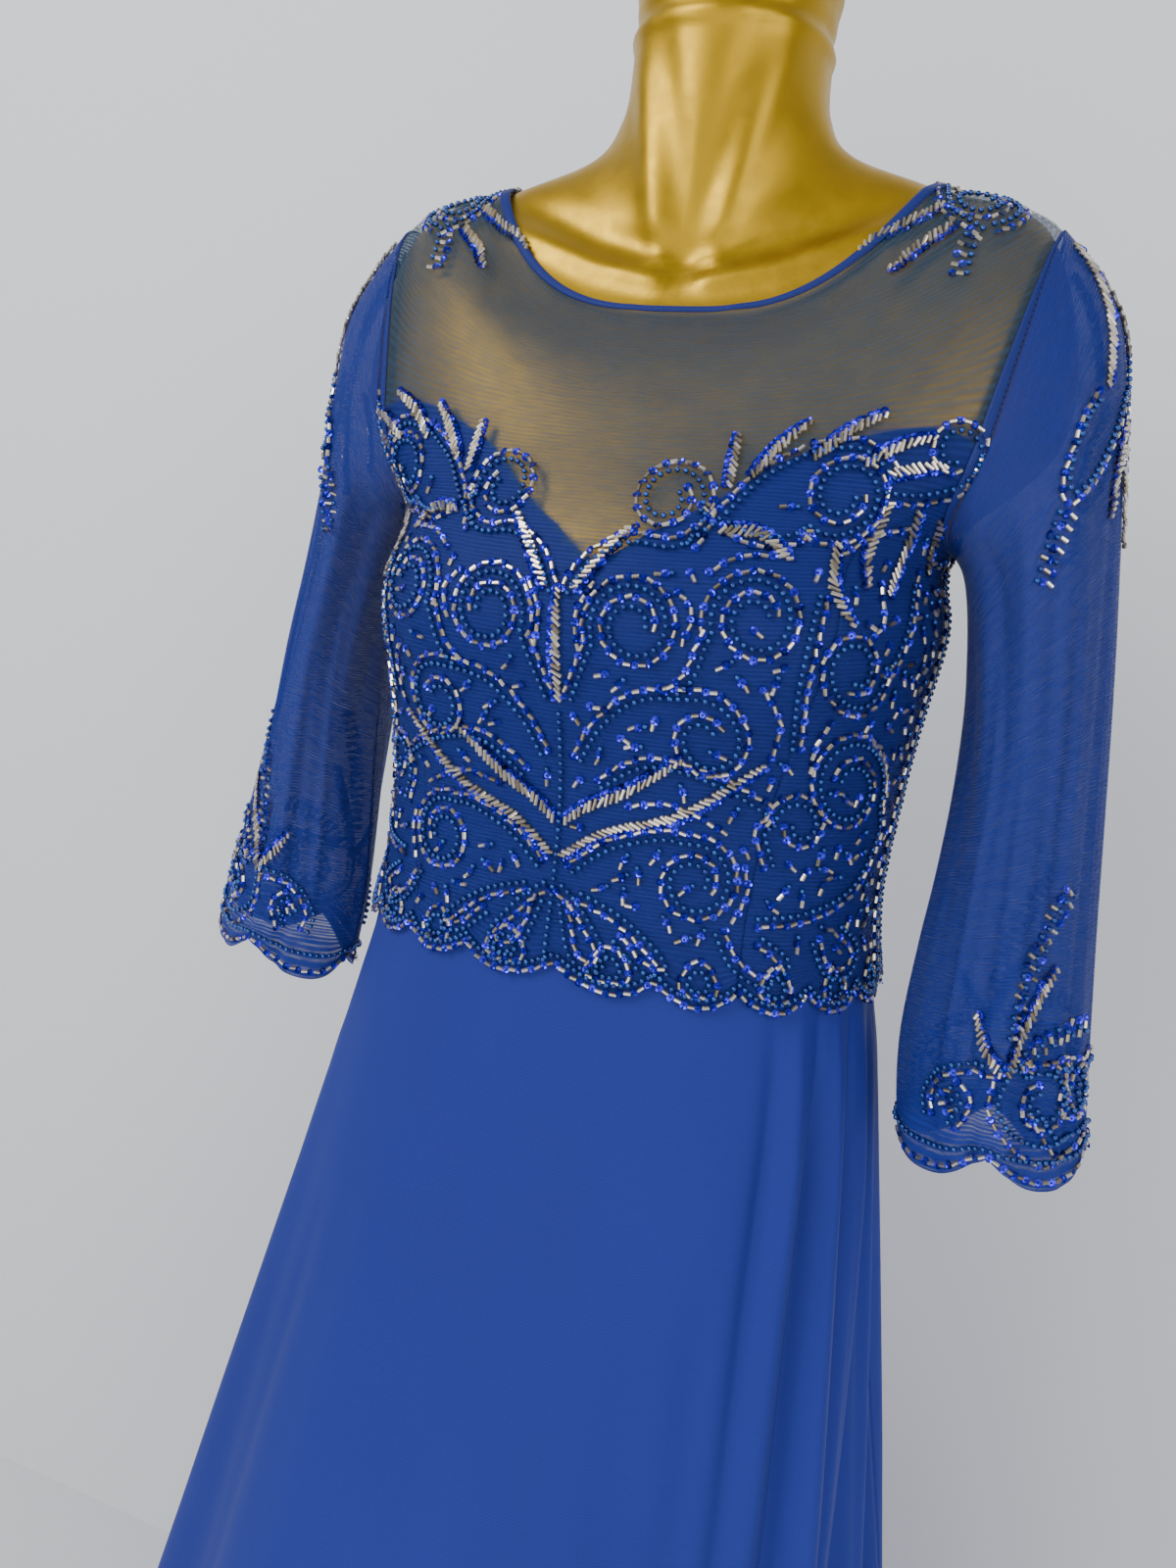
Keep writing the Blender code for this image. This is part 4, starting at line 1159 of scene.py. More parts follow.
class Beads:
    """Beads of one zone, kept as places until they are joined in one mesh a kind."""

    def __init__(self, zone, seed):
        self.zone = zone
        self.random = random.Random(seed)
        self.spots = {"pearl": [], "sequin": [], "bugle": []}

    def add(self, kind, point, out, run, size):
        out = out.normalized()
        run = (run - out * run.dot(out)).normalized()
        self.spots[kind].append((point, run, out.cross(run), out, size, self.random.random()))

    def pearl(self, point, out, run):
        size = PEARL_SIZE * self.random.uniform(*PEARL_SPREAD)
        self.add("pearl", point + out * size * PEARL_SEAT, out, run, (size, size, size))

    def sequin(self, point, out, run, lift=BEAD_LIFT):
        lean = Vector([self.random.uniform(-SEQUIN_TILT, SEQUIN_TILT) for _ in range(3)])
        size = SEQUIN_SIZE * self.random.uniform(*SEQUIN_SPREAD)
        self.add("sequin", point + out * lift * MM, out + lean, run, (size, size, size))

    def bugle(self, point, out, run, length=BUGLE_SIZE[0], lift=BEAD_LIFT, thick=1.0):
        run = run + out.cross(run) * self.random.uniform(-BUGLE_TURN, BUGLE_TURN)
        wide = BUGLE_SIZE[1] * thick * self.random.uniform(*BUGLE_SPREAD)
        self.add("bugle", point + out * lift * MM, out, run, (length, wide, wide))


def run_along(ground, path, step):
    """Points, outward directions and runs at even steps along a path of a chart."""
    spots = [ground.place(s, h) for s, h in path]
    lengths = [0.0]
    for (a, _), (b, _) in zip(spots, spots[1:]):
        lengths.append(lengths[-1] + (b - a).length)
    count = max(int(round(lengths[-1] / step)), 1)
    found = []
    k = 0
    for number in range(count + 1):
        goal = lengths[-1] * number / count
        while k < len(spots) - 2 and lengths[k + 1] < goal:
            k += 1
        gap = max(lengths[k + 1] - lengths[k], 1e-9)
        t = (goal - lengths[k]) / gap
        (point, out), (next_point, next_out) = spots[k], spots[k + 1]
        run = next_point - point
        part = goal / lengths[-1]
        found.append((point.lerp(next_point, t), out.lerp(next_out, t), run, part))
    return found


def curve(points, steps=9):
    """A smooth path through a few places."""
    xs = [p[0] for p in points]
    ys = [p[1] for p in points]
    count = (len(points) - 1) * steps
    return [(spline(xs, k / steps), spline(ys, k / steps)) for k in range(count + 1)]


def spiral(centre, radius, start, turns, hand, inner=0.30, steps=26):
    """A path that winds in from the start angle, anticlockwise with a hand of 1."""
    found = []
    count = max(int(steps * turns), 4)
    for k in range(count + 1):
        t = k / count
        angle = math.radians(start) + hand * 2.0 * math.pi * turns * t
        far = radius * (1.0 - (1.0 - inner) * t)
        found.append((centre[0] + far * math.cos(angle), centre[1] + far * math.sin(angle)))
    return found


def scroll_path(stem, winding):
    """A stem that runs into a spiral."""
    wound = spiral(*winding)
    return curve(list(stem) + [wound[0]]) + wound[1:]


def beside(path, gap):
    """A path at a distance to the left of another."""
    found = []
    for k, (s, h) in enumerate(path):
        a = path[max(k - 1, 0)]
        b = path[min(k + 1, len(path) - 1)]
        run = Vector((b[0] - a[0], b[1] - a[1]))
        if run.length < 1e-9:
            continue
        run.normalize()
        found.append((s - run.y * gap, h + run.x * gap))
    return found


def pearl_row(beads, ground, path, step=PEARL_STEP):
    for point, out, run, _ in run_along(ground, path, step):
        beads.pearl(point, out, run)


def mixed_row(beads, ground, path, step=MIXED_STEP):
    """Bugles and sequins by turns."""
    for number, (point, out, run, _) in enumerate(run_along(ground, path, step)):
        point = point + out.cross(run).normalized() * beads.random.uniform(-ROW_SLIP, ROW_SLIP)
        if number % 2:
            beads.bugle(point, out, run)
        else:
            beads.sequin(point, out, run)


def double_row(beads, ground, path, side=1.0):
    pearl_row(beads, ground, path)
    mixed_row(beads, ground, beside(path, side * ROW_GAP))


def frond(beads, ground, path, width=0.62, side=1.0):
    """Slanted bugles side by side that taper to a tip, edged with sequins."""

    def swell(part):
        return 0.5 + 0.5 * math.sin(math.pi * min(1.0, 0.10 + 0.92 * part)) ** 0.7

    for point, out, run, part in run_along(ground, path, FROND_STEP):
        aside = out.cross(run).normalized() * side
        lean = run.normalized() + aside * FROND_LEAN
        slip = run.normalized() * beads.random.uniform(-0.4, 0.4) * MM
        length = width * CM * swell(part) * beads.random.uniform(0.9, 1.08)
        beads.bugle(point + slip, out, lean, length, beads.random.uniform(1.0, 1.8), FROND_THICK)
    for point, out, run, part in run_along(ground, path, FROND_EDGE_STEP):
        aside = out.cross(run).normalized() * side
        reach = FROND_EDGE * width * CM * swell(part) + 0.9 * MM
        beads.sequin(point + aside * reach, out, run, 1.0)


def sprig(beads, ground, path):
    """A stem of short bars, each a pearl, a sequin and a bugle."""
    for point, out, run, part in run_along(ground, path, SPRIG_STEP):
        aside = out.cross(run).normalized()
        order = [-1.0, 0.0, 1.0]
        beads.random.shuffle(order)
        spots = [point + aside * (step * reach) for step, reach in zip(order, SPRIG_ASIDE)]
        beads.pearl(spots[0], out, run)
        beads.sequin(spots[1], out, run)
        beads.bugle(spots[2], out, aside + run.normalized() * 0.3)


# Motifs of one half of the bodice, drawn. Each scroll is a stem and then a spiral:
# centre, radius, start angle, turns, hand
SCROLLS = (
    (((5.9, 25.2), (6.4, 26.6)), ((4.5, 27.3), 1.75, -20.0, 1.15, 1.0)),
    (((0.7, 17.2), (1.3, 18.6), (1.9, 20.0)), ((3.9, 21.1), 2.15, 200.0, 1.55, -1.0)),
    (((5.8, 17.9), (6.9, 19.0), (7.5, 20.6)), ((9.7, 22.0), 2.15, 205.0, 1.5, -1.0)),
    (((7.6, 26.4), (9.2, 25.9), (10.8, 26.2)), ((12.6, 28.3), 2.05, 230.0, 1.35, 1.0)),
    (((14.6, 28.7), (16.2, 28.8), (18.0, 29.4)), ((17.6, 31.0), 1.5, -60.0, 0.95, 1.0)),
    (((10.6, 7.4), (13.2, 7.8), (16.2, 9.2), (17.8, 11.8)), ((15.1, 14.4), 2.65, -25.0, 1.5, 1.0)),
    (((18.6, 24.6), (18.3, 22.4), (17.4, 20.6)), ((14.9, 20.2), 2.0, 10.0, 1.3, -1.0)),
    (((1.1, 14.2), (2.2, 16.0), (4.2, 17.6), (6.8, 18.0)), ((7.4, 16.1), 1.9, 80.0, 1.1, -1.0)),
    (((1.0, 8.4), (2.8, 9.9), (5.2, 10.8)), ((7.2, 8.9), 2.0, 110.0, 1.35, -1.0)),
    (((11.0, 10.2), (10.4, 11.8)), ((12.2, 12.3), 1.35, 190.0, 1.0, -1.0)),
)
DOUBLES = (
    (((0.5, 22.3), (1.5, 24.0), (3.2, 25.0), (5.4, 25.0), (7.2, 26.6), (8.6, 28.6), (10.4, 30.0)), 1.0),
    (((10.8, 30.2), (13.0, 30.6), (14.8, 29.4)), 1.0),
    (((0.5, 7.6), (1.7, 6.6), (3.3, 4.4), (2.6, 3.5), (1.3, 4.2), (0.5, 6.6)), -1.0),
    (((1.6, 7.4), (3.8, 6.6), (6.0, 5.0), (6.4, 3.9), (5.0, 4.1), (3.6, 5.3)), -1.0),
    (((8.6, 6.4), (9.6, 4.8), (11.4, 4.0), (12.6, 5.2), (11.0, 6.4)), 1.0),
    (((13.8, 6.2), (14.8, 4.6), (16.6, 4.4), (17.2, 5.8), (15.6, 7.0)), 1.0),
    (((2.2, 13.0), (4.6, 14.4), (7.8, 14.0), (10.4, 12.8)), 1.0),
    (((11.6, 16.2), (11.8, 18.6), (12.2, 21.0), (12.6, 23.4)), -1.0),
)
MIXED = (
    ((7.2, 24.0), (8.6, 24.9), (10.4, 25.1)),
    ((1.2, 19.4), (1.0, 21.4), (1.7, 22.8)),
    ((5.9, 22.9), (6.7, 22.0), (6.4, 20.6)),
    ((10.2, 18.9), (11.0, 17.4), (10.6, 15.6)),
    ((13.6, 17.6), (12.9, 16.6), (12.6, 15.2)),
    ((3.6, 12.3), (6.0, 12.6), (8.4, 11.6)),
    ((9.6, 9.9), (9.9, 8.6), (9.4, 7.2)),
    ((13.2, 25.4), (14.8, 26.6), (16.4, 27.2)),
    ((16.4, 16.8), (17.6, 15.6), (18.2, 14.0)),
    ((16.0, 24.4), (16.4, 22.6), (15.8, 21.9)),
)
FRONDS = (
    (((7.2, 28.2), (7.1, 30.7)), 0.55, 1.0),
    (((8.2, 28.8), (9.2, 30.4), (10.4, 31.6)), 0.62, 1.0),
    (((10.9, 30.0), (12.4, 31.4), (13.9, 32.3)), 0.62, 1.0),
    (((13.4, 30.0), (15.0, 31.0), (16.4, 31.5)), 0.60, 1.0),
    (((14.6, 29.6), (16.4, 30.2), (17.2, 30.3)), 0.60, -1.0),
    (((7.4, 26.0), (9.2, 26.0), (10.8, 25.0)), 0.70, 1.0),
    (((13.0, 25.9), (13.2, 23.9), (14.4, 22.3)), 0.66, 1.0),
    (((14.9, 28.0), (14.8, 25.8), (15.2, 24.2)), 0.58, -1.0),
    (((16.6, 28.0), (17.0, 26.0), (16.6, 24.0)), 0.58, 1.0),
    (((18.2, 27.8), (19.0, 26.6), (19.6, 25.4)), 0.52, 1.0),
    (((0.35, 11.0), (1.5, 11.9), (3.6, 13.0), (6.2, 14.9)), 0.60, 1.0),
    (((0.35, 9.2), (2.6, 10.8), (6.2, 12.2), (10.2, 15.2)), 0.60, -1.0),
    (((0.8, 22.6), (1.9, 24.3), (3.1, 25.9)), 0.55, -1.0),
)
# Rows beside the side seam: inset, lowest and highest place, kind, step
SIDE_ROWS = (
    (0.75, 4.0, 25.6, pearl_row, 3.6 * MM),
    (0.30, 4.0, 25.8, mixed_row, 3.6 * MM),
    (1.25, 4.4, 24.5, mixed_row, 4.0 * MM),
)
CENTRE_FROND = ((0.0, 17.2), (0.0, 22.4))
CENTRE_STEM = ((0.0, 3.6), (0.0, 9.0), (0.0, 16.4))


def centre_shift(h):
    """How far the beading's middle line stands from the dress's, in centimetres."""
    return -0.6 - 0.9 * smooth(10.0, 24.0, h)


class Hem:
    """The lower edge of the bodice as a ground: a place is a level and a turn."""

    def place(self, level, turn):
        point = cloth_point(level, turn, NET_RISE + NET_THIN, creased=False)
        return point, form_normal(level, turn)


def bead_bodice(beads, ground, back):
    shift = (lambda h: 0.0) if back else centre_shift
    low = 1.1 if back else -1.0

    def mirrored(path, side):
        return [(side * max(s, low) + shift(h), h) for s, h in path]

    for side in (1.0, -1.0):
        for stem, winding in SCROLLS:
            path = mirrored(scroll_path(stem, winding), side)
            double_row(beads, ground, path, -winding[-1] * side)
        for points, edge in DOUBLES:
            double_row(beads, ground, mirrored(curve(points), side), edge * side)
        for points in MIXED:
            mixed_row(beads, ground, mirrored(curve(points), side))
        for points, width, edge in FRONDS:
            frond(beads, ground, mirrored(curve(points), side), width, edge * side)
        for inset, low_h, high_h, row, step in SIDE_ROWS:
            heights = np.linspace(low_h, high_h, 30)
            row(beads, ground, [(side * (ground.edge(h) - inset), h) for h in heights], step)
    if not back:
        frond(beads, ground, [(s + shift(h), h) for s, h in curve(CENTRE_FROND)], 0.60, 1.0)
        pearl_row(beads, ground, [(s + shift(h), h) for s, h in curve(CENTRE_STEM)])
    fill_ground(beads, ground, back)


# Groups between the motifs: heights, reach to each side, steps across and up, stray in
# centimetres, room to the motifs and to each other
FILL_HEIGHTS = (4.2, 27.5)
FILL_REACH = 20.0
FILL_STEPS = (0.85, 0.75)
FILL_STRAY = 0.25
FILL_CLEAR = 6.6 * MM
FILL_APART = 8.0 * MM


def fill_ground(beads, ground, back):
    """Small groups of beads where the motifs leave the cloth bare."""
    taken = [spot[0] for kind in beads.spots.values() for spot in kind]
    tree = KDTree(len(taken) + 4000)
    for number, point in enumerate(taken):
        tree.insert(point, number)
    tree.balance()
    grown = []
    h, top = FILL_HEIGHTS
    while h < top:
        s = -FILL_REACH
        while s < FILL_REACH:
            stray = FILL_STRAY
            place = (s + beads.random.uniform(-stray, stray), h + beads.random.uniform(-stray, stray))
            s += FILL_STEPS[0]
            aside = abs(place[0] - (0.0 if back else centre_shift(place[1])))
            if abs(place[0]) > ground.edge(place[1]) - 0.5 or (back and aside < 1.1):
                continue
            if not back and place[1] > 22.0 + 0.55 * aside:
                continue
            point, out = ground.place(*place)
            near = tree.find(point)[2]
            if near < FILL_CLEAR or any((point - other).length < FILL_APART for other in grown[-160:]):
                continue
            grown.append(point)
            angle = beads.random.uniform(0.0, math.pi)
            side = out.cross(Vector((0.0, 0.0, 1.0))).normalized()
            run = side * math.cos(angle) + out.cross(side) * math.sin(angle)
            beads.sequin(point, out, run)
            beads.bugle(point + run * 3.6 * MM, out, run)
            if beads.random.random() < 0.6:
                beads.pearl(point - run * 3.4 * MM, out, run)
        h += FILL_STEPS[1]


def bead_hem(beads, ground, back):
    """Rows and small loops on the scalloped lower edge of the bodice."""
    spans = ((90.5, 178.6), (-178.6, -90.5)) if back else ((-89.8, 89.8),)
    hem = Hem()
    up = 1.0 / LEVEL_HEIGHT
    for first, last in spans:
        for offset, row in ((2.0 * MM, mixed_row), (6.6 * MM, pearl_row)):
            path = []
            count = int((last - first) * 1.5)
            for k in range(count + 1):
                turn = first + (last - first) * k / count
                drop = SCALLOP_DROP * scallop(turn / 4.5)
                path.append((BODICE_HEM_LEVEL - drop + offset * up, turn))
            row(beads, hem, path, 3.7 * MM)
    for number in range(-10, 10):
        middle = 18.0 * number + 9.0
        if (abs(middle) > 90.0) != back:
            continue
        for radius, row in ((5.6, pearl_row), (10.0, mixed_row)):
            loop = []
            for k in range(25):
                angle = 2.0 * math.pi * k / 24.0
                wide = radius * (0.86 - 0.22 * math.sin(angle)) * MM
                high = radius * (1.15 if math.sin(angle) > 0.0 else 0.75) * MM
                level = BODICE_HEM_LEVEL + (4.0 * MM + high * math.sin(angle)) * up
                aside = math.degrees(wide * math.cos(angle) / TORSO_RADIUS)
                loop.append((level, middle + aside))
            row(beads, hem, loop, 3.7 * MM)


def bead_shoulder(beads, right):
    """Scroll, fronds and a sprig on top of one shoulder."""
    sign = -1.0 if right else 1.0
    ground = Patch(NET_TREE, (sign * 0.146, -0.014, 1.436), (sign, 0.0, -0.22), (0.0, 0.62, 0.78))
    scroll = spiral((0.0, 0.2), 2.0, -60.0, 1.35, 1.0)
    double_row(beads, ground, scroll, -1.0)
    double_row(beads, ground, curve(((-2.4, 3.6), (-2.2, 1.6), (-1.4, -0.8), (0.6, -2.0))), -1.0)
    frond(beads, ground, curve(((-1.8, -0.8), (-3.6, -2.8), (-5.2, -4.2))), 0.62, sign)
    frond(beads, ground, curve(((-0.9, -2.2), (-2.0, -4.0), (-2.8, -5.6))), 0.58, sign)
    sprig(beads, ground, curve(((0.3, -2.6), (0.3, -3.6), (0.5, -4.9))))
    frond(beads, ground, curve(((-1.6, 2.2), (-3.6, 3.4), (-5.0, 4.8))), 0.60, -sign)
    sprig(beads, ground, curve(((0.8, 2.8), (1.0, 4.0), (0.9, 5.2))))


CAP_DOUBLES = (
    (((-0.9, 0.7), (-0.6, 3.0), (0.2, 6.0), (1.0, 9.0), (1.5, 12.4)), 1.0),
    (((5.3, 7.6), (6.6, 7.6), (7.8, 9.0), (7.4, 10.8), (5.9, 11.4), (4.0, 10.6), (2.2, 9.0)), -1.0),
    (((-3.6, 8.2), (-5.4, 8.6), (-6.2, 10.2), (-5.2, 11.6), (-3.4, 11.0), (-1.6, 9.4)), 1.0),
)
CAP_FRONDS = (
    (((2.0, 0.9), (2.3, 3.0), (3.2, 5.2), (4.4, 7.4)), 0.66, 1.0),
    (((1.8, 10.2), (2.6, 12.0), (3.2, 14.6)), 0.60, -1.0),
    (((1.0, 11.6), (0.8, 13.6), (-0.2, 16.6)), 0.60, 1.0),
    (((-0.4, 1.6), (-0.1, 4.2), (0.6, 7.2)), 0.60, 1.0),
    (((-2.6, 1.0), (-3.2, 3.2), (-4.4, 5.6)), 0.62, -1.0),
    (((-0.6, 10.4), (-1.6, 12.4), (-2.2, 14.6)), 0.56, 1.0),
)
CAP_SPRIGS = (
    ((7.6, 11.8), (8.2, 13.0), (8.6, 14.6)),
    ((-6.2, 12.4), (-6.8, 14.2)),
)
# Cuff motifs: round from the outer line, and up from the cuff's edge
CUFF_SCROLLS = (
    (((6.3, 4.9), (5.4, 4.6)), ((4.0, 3.0), 1.55, 50.0, 1.05, 1.0)),
    (((-1.4, 4.3), (0.0, 4.4)), ((0.9, 3.2), 1.10, 110.0, 0.95, -1.0)),
    (((-5.0, 4.4), (-4.0, 4.6)), ((-3.2, 3.2), 1.35, 120.0, 1.0, -1.0)),
)
CUFF_DOUBLES = (
    (((6.6, 4.8), (8.2, 4.9), (9.8, 4.2), (10.7, 2.8), (10.5, 1.5)), -1.0),
    (((6.3, 4.3), (6.5, 2.8), (5.6, 1.5), (4.0, 1.0), (2.2, 1.2)), 1.0),
    (((8.9, 1.5), (8.4, 2.8), (9.0, 3.4)), 1.0),
    (((-0.6, 1.2), (-2.2, 1.4), (-4.2, 1.2), (-5.4, 2.6)), 1.0),
)
CUFF_FRONDS = (
    (((6.3, 4.6), (5.4, 6.8), (4.0, 9.4)), 0.58, 1.0),
    (((6.6, 4.6), (7.5, 5.8), (8.3, 7.4)), 0.58, -1.0),
)
CUFF_SPRIGS = (
    ((6.2, 6.4), (5.9, 8.4), (5.0, 11.0), (3.9, 13.0)),
    ((5.5, 5.0), (3.6, 6.2), (1.4, 6.4)),
    ((8.8, 2.2), (9.4, 3.0)),
)


CUFF_MIDDLE = 1.2
CUFF_ROWS = ((0.25, mixed_row), (0.62, pearl_row))


def bead_sleeve(beads, right):
    sign = -1.0 if right else 1.0

    def surface(a, number):
        angle = 360.0 * (1.0 - a)
        point = sleeve_point(angle, number, right, 0.1 * MM)
        if right:
            point.x = -point.x
        return point

    cap = Chart(lambda a, b: surface(a, 5.0 * b), 96, 44, 0.5)
    cuff = Chart(lambda a, b: surface(a, SLEEVE_LAST - 4.0 * b), 96, 44, 0.75)
    for points, edge in CAP_DOUBLES:
        double_row(beads, cap, curve(points), edge)
    for points, width, edge in CAP_FRONDS:
        frond(beads, cap, curve(points), width, edge * sign)
    for points in CAP_SPRIGS:
        sprig(beads, cap, curve(points))
    for side, middle in ((1.0, 0.0), (-1.0, CUFF_MIDDLE)):

        def mirrored(path):
            return [(side * s - middle, h) for s, h in path]

        for stem, winding in CUFF_SCROLLS:
            double_row(beads, cuff, mirrored(scroll_path(stem, winding)), -winding[-1] * side)
        for points, width, edge in CUFF_FRONDS:
            frond(beads, cuff, mirrored(curve(points)), width, edge * sign * side)
        for points, edge in CUFF_DOUBLES:
            double_row(beads, cuff, mirrored(curve(points)), edge * side)
        for points in CUFF_SPRIGS:
            sprig(beads, cuff, mirrored(curve(points)))
    reach = cuff.edge(0.0)
    for up, row in CUFF_ROWS:
        row(beads, cuff, [(s, up) for s in np.linspace(-reach, reach, 140)], MIXED_STEP)


# Beads one unit across, as the radius and height of each ring: sides, rings
HALF = 0.5
PEARL_ARCS = [math.pi * k / 4.0 for k in range(5)]
BEAD_RINGS = {
    "pearl": (7, [(HALF * math.sin(arc), HALF * math.cos(arc)) for arc in PEARL_ARCS]),
    "sequin": (9, ((0.27 * HALF, -0.13), (0.60 * HALF, -0.11), (HALF, 0.0))),
    "bugle": (6, ((HALF, HALF), (HALF, -HALF))),
    "stitch": (4, ((HALF, HALF), (HALF, -HALF))),
}


def bead_shape(kind):
    """Points and faces of one bead, from its rings. Tubes are capped and lie along X."""
    sides, rings = BEAD_RINGS[kind]
    points = []
    rows = []
    for radius, height in rings:
        count = sides if radius > 0.001 else 1
        rows.append([len(points) + k % count for k in range(sides + 1)])
        for k in range(count):
            angle = 2.0 * math.pi * k / sides
            points.append((radius * math.sin(angle), radius * math.cos(angle), height))
    faces = []
    for upper, lower in zip(rows, rows[1:]):
        for k in range(sides):
            corners = (upper[k], upper[k + 1], lower[k + 1], lower[k])
            faces.append(list(dict.fromkeys(corners)))
    if kind in ("bugle", "stitch"):
        faces += [rows[0][:0:-1], rows[-1][:-1]]
        points = [(z, y, -x) for x, y, z in points]
    return np.array(points), faces


def join_copies(name, kind, spots, finish):
    """Many small shapes as one mesh, each with a tint of its own."""
    shape, faces = bead_shape(kind)
    size = len(shape)
    points = np.zeros((len(spots) * size, 3))
    tints = np.zeros(len(spots) * size)
    for number, (place, run, side, out, scale, tint) in enumerate(spots):
        turn = np.array((tuple(run), tuple(side), tuple(out)))
        first = number * size
        points[first : first + size] = (shape * np.array(scale)) @ turn + np.array(tuple(place))
        tints[first : first + size] = tint
    every = [[k + number * size for k in face] for number in range(len(spots)) for face in faces]
    mesh = bpy.data.meshes.new(name)
    mesh.from_pydata(points.tolist(), [], every)
    layer = mesh.attributes.new("tint", "FLOAT", "POINT")
    layer.data.foreach_set("value", tints.astype(np.float32))
    if kind == "pearl":
        mesh.shade_smooth()
    mesh.materials.append(finish)
    thing = bpy.data.objects.new(name, mesh)
    bpy.context.scene.collection.objects.link(thing)
    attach(thing, DRESS)
    return thing


def net_tree():
    points = []
    faces = []
    for thing in NET_PIECES.values():
        first = len(points)
        points += [v.co.copy() for v in thing.data.vertices]
        faces += [[k + first for k in f.vertices] for f in thing.data.polygons]
    return BVHTree.FromPolygons(points, faces)


NET_TREE = net_tree()
CHART_ROWS = (-0.5, 18.5)
ZONES = []


def bodice_chart(back):
    side = -1.0 if back else 1.0

    def place(a, b):
        number = CHART_ROWS[0] + CHART_ROWS[1] * b
        return row_point(number, side * (2.0 * a - 1.0), back, NET_RISE + NET_THIN)

    return Chart(place, 120, 130)


for zone, is_back in (("front", False), ("back", True)):
    chart = bodice_chart(is_back)
    zone_beads = Beads(zone, BEAD_SEED + is_back)
    bead_hem(zone_beads, chart, is_back)
    bead_bodice(zone_beads, chart, is_back)
    ZONES.append(zone_beads)
for is_right, zone in ((False, "left"), (True, "right")):
    zone_beads = Beads("sleeve_" + zone, BEAD_SEED + 2 + is_right)
    bead_shoulder(zone_beads, is_right)
    bead_sleeve(zone_beads, is_right)
    ZONES.append(zone_beads)


# Zip of the centre back, and the lines of stitching
ZIP_LOW_ROW = 0.97
TAPE_RISE = -1.5 * MM
COIL_ROWS = (2.0, 16.8)
COIL_ROW_STEP = 0.05
COIL_RISE = -0.6 * MM
COIL_STEP = 1.3 * MM
COIL_SIZE = (3.4 * MM, 0.8 * MM, 0.8 * MM)
STITCH_SIZE = (2.0 * MM, 0.45 * MM, 0.45 * MM)
STITCH_STEP = 3.2 * MM
NECK_STITCH_TURN = 178.9
NECK_STITCH_ROW = 18.79
NECK_STITCH_RISE = 2.1 * MM
ARMHOLE_STITCHES = (0.12, 0.88)
ARMHOLE_STITCH_RISE = 1.9 * MM
HEM_STITCH_RISE = 16.0 * MM


def tape_point(number, x, rise):
    """A point of the zip's tape, at x from the centre back."""
    near = row_point(number, ZIP_SEAM_GAPS * seam_share(number), True, rise)
    far = row_point(number, TAPE_FAR_SHARE, True, rise)
    point = near.lerp(far, (abs(x) - near.x) / (far.x - near.x))
    point.x = x
    return point


def build_zip():
    columns = 12
    rows = 90

    def place(column, row):
        number = ZIP_LOW_ROW + (TOP_ROW - ZIP_LOW_ROW) * row / rows
        x = ZIP_HALF * (1.0 - 2.0 * column / columns)
        return tape_point(number, x, TAPE_RISE)

    tape = grid_mesh(columns, rows, place)
    sew("zip_tapes", tape, ZIP_CLOTH, ("zip_tape",), TAPE_THIN)
    count = int(COIL_ROWS[1] / COIL_ROW_STEP)
    path = [tape_point(COIL_ROWS[0] + COIL_ROW_STEP * k, 0.0, COIL_RISE) for k in range(count)]
    spots = []
    for point, run in even_spots(path, COIL_STEP):
        across = Vector((1.0, 0.0, 0.0))
        spots.append((point, across, across.cross(run), run, COIL_SIZE, 0.5))
    join_copies("zip_coil", "stitch", spots, ZIP_COIL)


def even_spots(path, step):
    """Points and runs at even steps along a path in space."""
    gone = 0.0
    goal = 0.0
    found = []
    for a, b in zip(path, path[1:]):
        length = (b - a).length
        while goal <= gone + length and length > 0.0:
            found.append((a.lerp(b, (goal - gone) / length), (b - a).normalized()))
            goal += step
        gone += length
    return found


def stitch_line(name, path, out_of):
    """A line of small stitches on a path of points; out_of gives the way out at a point."""
    spots = []
    for point, run in even_spots(path, STITCH_STEP):
        out = out_of(point)
        out = (out - run * out.dot(run)).normalized()
        spots.append((point + out * 0.1 * MM, run, out.cross(run), out, STITCH_SIZE, 0.5))
    return join_copies(name, "stitch", spots, THREAD)


def from_axis(point):
    """The way out from the dress's upright axis."""
    return Vector((point.x, point.y, 0.0)).normalized()


def up_and_out(point):
    return (from_axis(point) + Vector((0.0, 0.0, 0.8))).normalized()


def build_stitching():
    neck = []
    for turn in np.linspace(-NECK_STITCH_TURN, NECK_STITCH_TURN, 241):
        back, share = turn_share(turn)
        neck.append(row_point(NECK_STITCH_ROW, share, back, NECK_STITCH_RISE))
    stitch_line("stitches_neck", neck, up_and_out)
    for right, side in ((False, "left"), (True, "right")):
        sign = -1.0 if right else 1.0
        for k, width in enumerate(ARMHOLE_STITCHES):
            line = []
            for step in np.linspace(0.0, 2.0 * ARMHOLE_STEPS, 161):
                back = step > ARMHOLE_STEPS
                number = ARMPIT_ROW + (2.0 * ARMHOLE_STEPS - step if back else step)
                share = sign * band_share(number, width)
                line.append(row_point(number, share, back, ARMHOLE_STITCH_RISE, creased=False))
            stitch_line(f"stitches_armhole_{side}_{k}", line, up_and_out)
    hem = []
    for k in range(721):
        turn = -180.0 + k * 0.5
        out = Vector((math.sin(math.radians(turn)), -math.cos(math.radians(turn)), 0.0))
        point = skirt_point(HEM_Z + HEM_STITCH_RISE, turn)
        hem.append(point + out * (CREPE_THIN + 0.2 * MM))
    stitch_line("stitches_hem", hem, from_axis)


